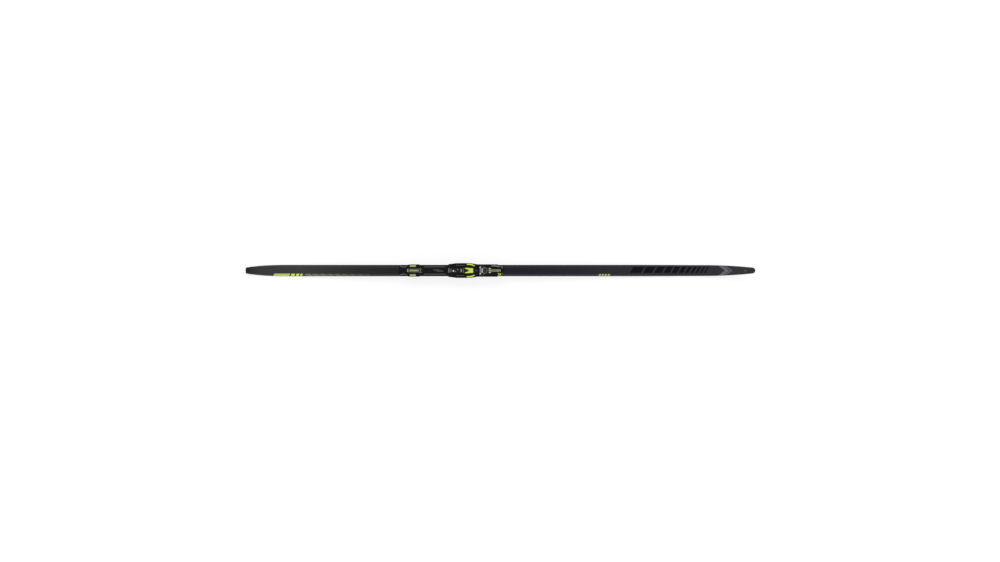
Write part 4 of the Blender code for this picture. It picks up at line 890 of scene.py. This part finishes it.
def add_patch(shape, corner_at, steps_u, steps_v):
    """Adds a thin closed print that follows the top sheet; corner_at gives plan points for u and v."""
    rows_up = []
    rows_down = []
    for u in spread(0.0, 1.0, steps_u):
        up = []
        down = []
        for v in spread(0.0, 1.0, steps_v):
            x, y = corner_at(u, v)
            z = top_height(x, y)
            up.append(shape.verts.new((x, y, z + PRINT_LIFT)))
            down.append(shape.verts.new((x, y, z - PRINT_SINK)))
        rows_up.append(up)
        rows_down.append(down)
    for i in range(steps_u):
        for j in range(steps_v):
            for rows in (rows_up, rows_down):
                shape.faces.new((rows[i][j], rows[i + 1][j], rows[i + 1][j + 1], rows[i][j + 1]))
    rim_up = rim_of(rows_up)
    rim_down = rim_of(rows_down)
    for i in range(len(rim_up)):
        j = (i + 1) % len(rim_up)
        shape.faces.new((rim_up[i], rim_up[j], rim_down[j], rim_down[i]))


def smooth_path(points, steps=6):
    """A smooth row of points through the given ones; each may carry more than two numbers."""
    path = []
    for i in range(len(points) - 1):
        ends = [points[max(i - 1, 0)], points[i], points[i + 1], points[min(i + 2, len(points) - 1)]]
        for t in spread(0.0, 1.0, steps)[:-1]:
            path.append([blend_four(*numbers, t) for numbers in zip(*ends)])
    path.append(list(points[-1]))
    return path


def blend_four(a, b, c, d, t):
    """A value between b and c on the smooth curve through all four."""
    rise = (c - a) * t
    bend = (2 * a - 5 * b + 4 * c - d) * t * t
    turn = (3 * b - a - 3 * c + d) * t * t * t
    return b + 0.5 * (rise + bend + turn)


def add_ribbon(shape, points, low, high):
    """Adds a flat band along a smooth path of (x, y, width)."""
    path = smooth_path(points)
    left = []
    right = []
    for i, (x, y, wide) in enumerate(path):
        back = Vector(path[max(i - 1, 0)][:2])
        ahead = Vector(path[min(i + 1, len(path) - 1)][:2])
        side = (ahead - back).normalized().orthogonal() * (wide / 2)
        left.append((x + side.x, y + side.y))
        right.append((x - side.x, y - side.y))
    add_prism(shape, left + right[::-1], low, high)


def add_disc(shape, x, y, radius, low, high, sides=20):
    outline = []
    for i in range(sides):
        angle = 2 * math.pi * i / sides
        outline.append((x + radius * math.cos(angle), y + radius * math.sin(angle)))
    add_prism(shape, outline, low, high)


def add_ring(shape, x, y, inside, outside, low, high, sides=28):
    """Adds a flat ring that lies level."""
    loops = []
    for reach, z in ((inside, low), (outside, low), (outside, high), (inside, high)):
        loop = []
        for i in range(sides):
            angle = 2 * math.pi * i / sides
            loop.append(shape.verts.new((x + reach * math.cos(angle), y + reach * math.sin(angle), z)))
        loops.append(loop)
    for near, far in zip(loops, loops[1:] + loops[:1]):
        for i in range(sides):
            j = (i + 1) % sides
            shape.faces.new((near[i], near[j], far[j], far[i]))


def rounded_box(x_low, x_high, y_low, y_high, radius, steps=5):
    """Outline in plan of a rectangle with round corners."""
    outline = []
    corners = ((x_high, y_high, 1, 1), (x_low, y_high, -1, 1), (x_low, y_low, -1, -1), (x_high, y_low, 1, -1))
    for i, (x, y, along, across) in enumerate(corners):
        for turn in spread(0.0, 0.5, steps):
            angle = (0.5 * i + turn) * math.pi
            centre_x = x - along * radius
            centre_y = y - across * radius
            outline.append((centre_x + radius * math.cos(angle), centre_y + radius * math.sin(angle)))
    return outline


def mirror_all(points):
    return [(x, -y, *rest) for x, y, *rest in points]


def both_sides(points):
    """A path and the same path on the other side of the middle line."""
    return points, mirror_all(points)


def over_middle(points):
    """A path that ends on the middle line, carried on down the other side."""
    return [*points, *mirror_all(points)[-2::-1]]


def slanted(x_low, x_high, y_low, y_high, lean):
    """Plan points of a parallelogram that leans towards the tip as y rises."""

    def corner_at(u, v):
        y = y_low + (y_high - y_low) * v
        return x_low + (x_high - x_low) * u + lean * v, y

    return corner_at


def pointed(start, wide, reach, lead):
    """Plan points of a chevron whose middle leads towards the tip."""

    def corner_at(u, v):
        side = 2 * v - 1
        return start + wide * u + lead * (1 - abs(side)), reach * side

    return corner_at


def print_piece(name, patches):
    """Makes one named piece of several thin prints."""
    shape = bmesh.new()
    for corner_at, steps in patches:
        add_patch(shape, corner_at, *steps)
    place_piece(name, shape)


def build_top_sheet():
    """The top sheet with more sections than the solid has, so that its bends look round."""
    shape = bmesh.new()
    stations = spread(LAYERS_TAIL_X, TAIL_ROWS_X, TAIL_ROWS)[:-1]
    stations += spread(TAIL_ROWS_X, ARCH_REAR_X, REAR_ROWS)
    stations += spread(ARCH_FRONT_X, TIP_BEND_X, FORE_ROWS)[:-1]
    stations += spread(TIP_BEND_X, LAYERS_TIP_X, TIP_ROWS)
    rings = []
    for x in stations:
        half = half_width(x)
        thick = thickness(x)
        low = thick * SIDEWALL_SHARE + GAP
        under = thick - CAP_THICK
        slope = (under - low) / (thick - thick * SIDEWALL_SHARE)
        inside = [Vector((half - CAP_SHIFT - cap_run(thick) * slope, under)), Vector((half - CAP_SHIFT, low))]
        right = inside + cap_outer(half, thick)
        section = right + [Vector((-p.x, p.y)) for p in reversed(right)]
        floor = base_height(x)
        rings.append([shape.verts.new((x, p.x, floor + p.y)) for p in section])
    count = len(rings[0])
    for near, far in zip(rings, rings[1:]):
        for i in range(count):
            j = (i + 1) % count
            shape.faces.new((near[i], near[j], far[j], far[i]))
    shape.faces.new(rings[0])
    shape.faces.new(rings[-1])
    piece = place_piece("top_sheet_skin", shape, smooth=True, replaced=("top_sheet",))
    piece.data.set_sharp_from_angle(angle=math.radians(SHARP_ANGLE))


def build_tail_prints():
    slashes = [(slanted(*bar), TAIL_BAR_STEPS) for bar in TAIL_BARS]
    start = TAIL_BLOCKS_X
    for wide in TAIL_BLOCK_WIDTHS:
        slashes.append((slanted(start, start + wide, *TAIL_BLOCK_SIDES), TAIL_BLOCK_STEPS))
        start += wide + TAIL_BLOCK_GAP
    print_piece("tail_slashes", slashes)

    lines = []
    for i in range(FADING_COUNT):
        start = FADING_X + i * FADING_PITCH
        lines.append((slanted(start, start + FADING_LONG, *FADING_INNER), FADING_STEPS))
        start += FADING_OFFSET
        lines.append((slanted(start, start + FADING_LONG, *FADING_OUTER), FADING_STEPS))
    print_piece("tail_fading_lines", lines)


def build_fore_prints():
    marks = []
    for i in range(FORE_SLASH_COUNT):
        start = FORE_SLASH_X + i * FORE_SLASH_PITCH
        marks.append((slanted(start, start + FORE_SLASH_WIDE, *FORE_SLASH_SIDES), FORE_SLASH_STEPS))
    print_piece("fore_slashes", marks)

    stripes = []
    start = STRIPE_X
    wide = STRIPE_WIDE
    while wide > STRIPE_LEAST:
        stripes.append((slanted(start, start + wide, *STRIPE_SIDES), STRIPE_STEPS))
        start += wide + STRIPE_GAP
        wide *= STRIPE_SHRINK
    print_piece("gloss_stripes", stripes)

    chevrons = []
    for start, wide in TIP_CHEVRONS:
        reach = half_width(start) * TIP_CHEVRON_SHARE
        chevrons.append((pointed(start, wide, reach, TIP_CHEVRON_LEAD), TIP_CHEVRON_STEPS))
    print_piece("tip_chevrons", chevrons)

    ticks = []
    for start, reach in TIP_TICKS:
        ticks.append((slanted(start, start + TIP_TICK_WIDE, -reach, reach, 0.0), TIP_TICK_STEPS))
    print_piece("tip_painted_highlight_ticks", ticks)


def build_pad_details():
    ribs = bmesh.new()
    inner, outer = PAD_RIB_SIDES
    for x in spread(*PAD_RIBS_X, PAD_RIB_SPACES):
        for sign in (1, -1):
            ends = (x, sign * inner), (x, sign * outer)
            add_bar(ribs, *ends, PAD_RIB_WIDE, PAD_TOP - SINK, PAD_TOP + PAD_RIB_RISE)
    place_piece("pad_ribs", ribs)

    treads = bmesh.new()
    for x in spread(*TREADS_X, TREAD_SPACES):
        ends = (x, -TREAD_REACH), (x, TREAD_REACH)
        add_bar(treads, *ends, TREAD_WIDE, PAD_TOP - SINK, PAD_TOP + TREAD_RISE)
    place_piece("pad_rear_treads", treads)

    low = PAD_TOP - MARK_RISE
    high = PAD_TOP + MARK_RISE
    square = bmesh.new()
    add_prism(square, rounded_box(*SQUARE_X, *SQUARE_Y, SQUARE_CORNER), low, high)
    add_disc(square, *DOT_AT, DOT_RADIUS, low, high)
    place_piece("pad_square_mark", square)
    lines = bmesh.new()
    add_bar(lines, *LOW_DASH, LOW_DASH_WIDE, low, high)
    add_bar(lines, *HIGH_DASH, HIGH_DASH_WIDE, low, high)
    for y in BLOCKS_Y:
        add_bar(lines, (BLOCKS_X, y - BLOCK_HALF), (BLOCKS_X, y + BLOCK_HALF), BLOCK_WIDE, low, high)
    place_piece("pad_line_marks", lines)

    rings = bmesh.new()
    for inside in RING_INSIDES:
        add_ring(rings, PLUG_X, 0.0, inside, inside + RING_WIDE, PLUG_TOP - SINK, PLUG_TOP + RING_RISE)
    place_piece("plug_rings", rings)


def build_platform_details():
    low = SOLE - SINK
    lines = bmesh.new()
    rear, front = EDGE_LINE_X
    for y in (EDGE_LINE_Y, -EDGE_LINE_Y):
        add_bar(lines, (rear, y), (front, y), EDGE_LINE_WIDE, low, SOLE + EDGE_LINE_RISE)
    place_piece("platform_edge_painted_highlights", lines)

    lip = bmesh.new()
    add_ribbon(lip, over_middle(REAR_LIP), low, SOLE + REAR_LIP_RISE)
    place_piece("platform_rear_lip", lip)

    lip = bmesh.new()
    add_ribbon(lip, over_middle(WINDOW_LIP), low, SOLE + WINDOW_LIP_RISE)
    place_piece("latch_window_lip", lip)

    blades = bmesh.new()
    for path in both_sides(WING_BLADE):
        add_ribbon(blades, path, WING_TOP - BLADE_SINK, WING_TOP + BLADE_RISE)
    place_piece("wing_blades", blades)


def build_toe_latch_details():
    notch = bmesh.new()
    outline = [*NOTCH_HALF, *mirror_all(NOTCH_HALF)[-2:0:-1]]
    add_prism(notch, outline, TOE_LATCH_TOP - NOTCH_SINK, TOE_LATCH_TOP + NOTCH_RISE)
    place_piece("toe_latch_notch_painted_shade", notch)

    face = bmesh.new()
    outline = [*FACE_HALF, *mirror_all(FACE_HALF)[:0:-1]]
    add_prism(face, outline, TOE_LATCH_TOP - SINK, TOE_LATCH_FACE)
    place_piece("toe_latch_face", face)

    ridges = bmesh.new()
    low = TOE_LATCH_FACE - SINK
    high = TOE_LATCH_FACE + LATCH_RIDGE_RISE
    for x in LATCH_RIDGES_X:
        add_bar(ridges, (x, -LATCH_RIDGE_REACH), (x, LATCH_RIDGE_REACH), LATCH_RIDGE_WIDE, low, high)
    rear, front = SIDE_RIDGE_X
    for y in (-SIDE_RIDGE_Y, SIDE_RIDGE_Y):
        add_bar(ridges, (rear, y), (front, y * SIDE_RIDGE_TAPER), SIDE_RIDGE_WIDE, low, high)
    place_piece("toe_latch_ridges", ridges)


def build_jaw_details():
    ribs = bmesh.new()
    rise = (JAW_TOP - JAW_FOOT) / (JAW_CREST_X - JAW_REAR_X)
    for x in JAW_RIBS_X:
        z = JAW_FOOT + (x - JAW_REAR_X) * rise
        add_bar(ribs, (x, -JAW_REACH), (x, JAW_REACH), JAW_RIB_WIDE, z - JAW_RIB_SINK, z + JAW_RIB_RISE)
    place_piece("jaw_ribs", ribs)

    crest = bmesh.new()
    for x in CREST_LINES_X:
        ends = (x, -JAW_REACH), (x, JAW_REACH)
        add_bar(crest, *ends, CREST_LINE_WIDE, JAW_TOP - SINK, JAW_TOP + CREST_LINE_RISE)
    place_piece("jaw_crest_painted_highlights", crest)

    studs = bmesh.new()
    for sign in (1, -1):
        for x, y, radius, rise in STUDS:
            add_disc(studs, x, sign * y, radius, EAR_TOP - SINK, EAR_TOP + rise)
    place_piece("ear_studs", studs)

    rim = bmesh.new()
    add_ribbon(rim, over_middle(FLEX_RIM), FLEX_TOP - FLEX_RIM_SINK, FLEX_TOP + FLEX_RIM_RISE)
    place_piece("flexor_rim", rim)


def build_nose_details():
    stripes = bmesh.new()
    for path in NOSE_STRIPES:
        add_ribbon(stripes, path, NOSE_TOP - SINK, NOSE_TOP + NOSE_STRIPE_RISE)
    place_piece("nose_stripe_and_painted_highlights", stripes)

    chevrons = bmesh.new()
    high = NOSE_CHEVRON_Y + NOSE_CHEVRON_HALF
    low = NOSE_CHEVRON_Y - NOSE_CHEVRON_HALF
    for x in NOSE_CHEVRONS_X:
        front = x + NOSE_CHEVRON_WIDE
        outline = [(x, high), (front, high), (front + NOSE_CHEVRON_LEAD, NOSE_CHEVRON_Y), (front, low)]
        outline += [(x, low), (x + NOSE_CHEVRON_LEAD, NOSE_CHEVRON_Y)]
        add_prism(chevrons, outline, NOSE_TOP - SINK, NOSE_TOP + NOSE_CHEVRON_RISE)
    place_piece("nose_chevrons", chevrons)


def build_lever_details():
    low = INLAY_TOP - SINK
    high = INLAY_TOP + LEVER_RIB_RISE
    ribs = bmesh.new()
    rear, front = LEVER_RIB_X
    for y in LEVER_ROWS:
        add_bar(ribs, (rear, y), (front, y), LEVER_RIB_WIDE, low, high)
    place_piece("lever_ribs", ribs)

    tip = bmesh.new()
    rear, front = LEVER_TIP_X
    for y in LEVER_ROWS:
        add_bar(tip, (rear, y), (front, y), LEVER_TIP_WIDE, low, high)
    ends = (LEVER_END_X, -LEVER_END_REACH), (LEVER_END_X, LEVER_END_REACH)
    add_bar(tip, *ends, LEVER_END_WIDE, low, high)
    place_piece("lever_tip_ribs", tip)

    spokes = bmesh.new()
    for path in (SIDE_SPOKE, MIDDLE_SPOKE, mirror_all(SIDE_SPOKE)):
        add_ribbon(spokes, path, low, INLAY_TOP + SPOKE_RISE)
    place_piece("lever_spokes", spokes)

    rim = bmesh.new()
    arc = []
    for turn in spread(*ARC_TURNS, ARC_STEPS):
        angle = math.radians(turn)
        arc.append((PIVOT_X + ARC_RADIUS * math.cos(angle), ARC_RADIUS * math.sin(angle), ARC_WIDE))
    add_ribbon(rim, arc, LEVER_TOP - SINK, LEVER_TOP + ARC_RISE)
    place_piece("lever_rear_arc", rim)


def build_heel_details():
    dashes = bmesh.new()
    for y, start, stop in HEEL_DASHES:
        add_bar(dashes, (start, y), (stop, y), HEEL_DASH_WIDE, SOLE - SINK, SOLE + HEEL_DASH_RISE)
    place_piece("heel_dashes", dashes)

    lines = bmesh.new()
    rear, front = RIDGE_LINE_X
    for y in (RIDGE_LINE_Y, -RIDGE_LINE_Y):
        ends = (rear, y), (front, y)
        add_bar(lines, *ends, RIDGE_LINE_WIDE, RIDGE_TOP - SINK, RIDGE_TOP + RIDGE_LINE_RISE)
    place_piece("heel_ridge_painted_highlights", lines)

    blocks = bmesh.new()
    inner, outer = HEEL_BLOCK_SIDES
    for sign in (1, -1):
        for x in spread(*HEEL_BLOCKS_X, HEEL_BLOCK_SPACES):
            ends = (x, sign * inner), (x, sign * outer)
            add_bar(blocks, *ends, HEEL_BLOCK_WIDE, HEEL_PAD_TOP - SINK, HEEL_PAD_TOP + HEEL_BLOCK_RISE)
    place_piece("heel_pad_blocks", blocks)

    fins = bmesh.new()
    for path in both_sides(FIN_EDGE):
        add_ribbon(fins, path, FIN_TOP - SINK, FIN_TOP + FIN_EDGE_RISE)
    place_piece("tail_fin_painted_highlights", fins)


def build_heel_latch_details():
    low = HEEL_LATCH_TOP - SINK
    high = HEEL_LATCH_TOP + LATCH_DETAIL_RISE
    rails = bmesh.new()
    for path in both_sides(LATCH_RAIL):
        add_ribbon(rails, path, low, high)
    place_piece("heel_latch_rails", rails)

    spine = bmesh.new()
    ends = (LATCH_END_X, -LATCH_END_REACH), (LATCH_END_X, LATCH_END_REACH)
    add_bar(spine, *ends, LATCH_END_WIDE, low, high)
    add_ribbon(spine, LATCH_SPINE, low, high)
    inner, outer = SPINE_TOOTH_SIDES
    for x in spread(*SPINE_TEETH_X, SPINE_TOOTH_SPACES):
        for sign in (1, -1):
            ends = (x, sign * inner), (x, sign * outer)
            add_bar(spine, *ends, SPINE_TOOTH_WIDE, low, HEEL_LATCH_TOP + SPINE_TOOTH_RISE)
    place_piece("heel_latch_spine", spine)


def dress_nodes():
    """Gives every carried-over node its material, and rounds its edges a little."""
    slots = {part["node"]: part["material_slot"] for part in frame["record"]["subparts"]}
    for name, node in NODES.items():
        node.data.materials.clear()
        node.data.materials.append(MATERIALS[NODE_LOOKS.get(name, slots[name])])
        curved = node["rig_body"] == "ski"
        for face in node.data.polygons:
            face.use_smooth = curved or abs(face.normal.z) < LEVEL_FACE
        weld = node.modifiers.new("join_points", "WELD")
        weld.merge_threshold = WELD_REACH
        soften(node, NODE_EDGE, USUAL_STEPS, NODE_EDGE_ANGLE)


def background_seen(nodes, links):
    """One for rays that show the background itself, seen straight, mirrored or through a piece."""
    path = nodes.new("ShaderNodeLightPath")
    seen = path.outputs["Is Camera Ray"]
    for kind in ("Is Glossy Ray", "Is Transmission Ray"):
        either = nodes.new("ShaderNodeMath")
        either.operation = "MAXIMUM"
        links.new(seen, either.inputs[0])
        links.new(path.outputs[kind], either.inputs[1])
        seen = either.outputs["Value"]
    return seen


def build_stage():
    """White floor and room, and two broad lamps."""
    shape = bmesh.new()
    bmesh.ops.create_grid(shape, x_segments=1, y_segments=1, size=FLOOR_HALF)
    mesh = bpy.data.meshes.new("floor")
    shape.to_mesh(mesh)
    shape.free()
    floor = bpy.data.objects.new("floor", mesh)
    floor.location = (0.0, 0.0, -FLOOR_DROP)
    bpy.context.scene.collection.objects.link(floor)
    made, nodes, links, shader = new_material("floor_paper")
    shader.inputs["Base Color"].default_value = (FLOOR_TONE, FLOOR_TONE, FLOOR_TONE, 1.0)
    shader.inputs["Roughness"].default_value = FLOOR_ROUGH
    shader.inputs["Specular IOR Level"].default_value = 0.0
    shader.inputs["Emission Color"].default_value = (1.0, 1.0, 1.0, 1.0)
    glow = nodes.new("ShaderNodeMath")
    glow.operation = "MULTIPLY"
    glow.inputs[1].default_value = FLOOR_GLOW
    links.new(background_seen(nodes, links), glow.inputs[0])
    links.new(glow.outputs["Value"], shader.inputs["Emission Strength"])
    mesh.materials.append(made)

    world = bpy.data.worlds.new("studio")
    world.use_nodes = True
    nodes = world.node_tree.nodes
    links = world.node_tree.links
    background = nodes["Background"]
    background.inputs["Color"].default_value = (1.0, 1.0, 1.0, 1.0)
    strength = nodes.new("ShaderNodeMapRange")
    strength.inputs["To Min"].default_value = SKY_LEVEL
    strength.inputs["To Max"].default_value = 1.0
    links.new(background_seen(nodes, links), strength.inputs["Value"])
    links.new(strength.outputs["Result"], background.inputs["Strength"])
    bpy.context.scene.world = world

    for name, place, power, breadth in LAMPS:
        lamp = bpy.data.lights.new(name, "SUN")
        lamp.energy = power
        lamp.angle = math.radians(breadth)
        holder = bpy.data.objects.new(name, lamp)
        holder.location = place
        holder.rotation_euler = Vector(place).to_track_quat("Z", "Y").to_euler()
        bpy.context.scene.collection.objects.link(holder)


def build_camera():
    """A long lens that looks straight down, as in the photograph."""
    camera = bpy.data.cameras.new("photo_camera")
    camera.lens = LENS_MM
    camera.sensor_width = SENSOR_MM
    camera.clip_end = SEEN_TO
    holder = bpy.data.objects.new("photo_camera", camera)
    bpy.context.scene.collection.objects.link(holder)
    away = IMAGE_WIDE * METRES_PER_PIXEL * LENS_MM / SENSOR_MM
    holder.location = (0.0, -PHOTO_RISE * METRES_PER_PIXEL, away + CAMBER)
    bpy.context.scene.camera = holder


bpy.context.scene.view_settings.view_transform = "Standard"
build_camera()
build_stage()
dress_nodes()
build_top_sheet()
build_tail_prints()
build_fore_prints()
build_pad_details()
build_platform_details()
build_toe_latch_details()
build_jaw_details()
build_nose_details()
build_lever_details()
build_heel_details()
build_heel_latch_details()
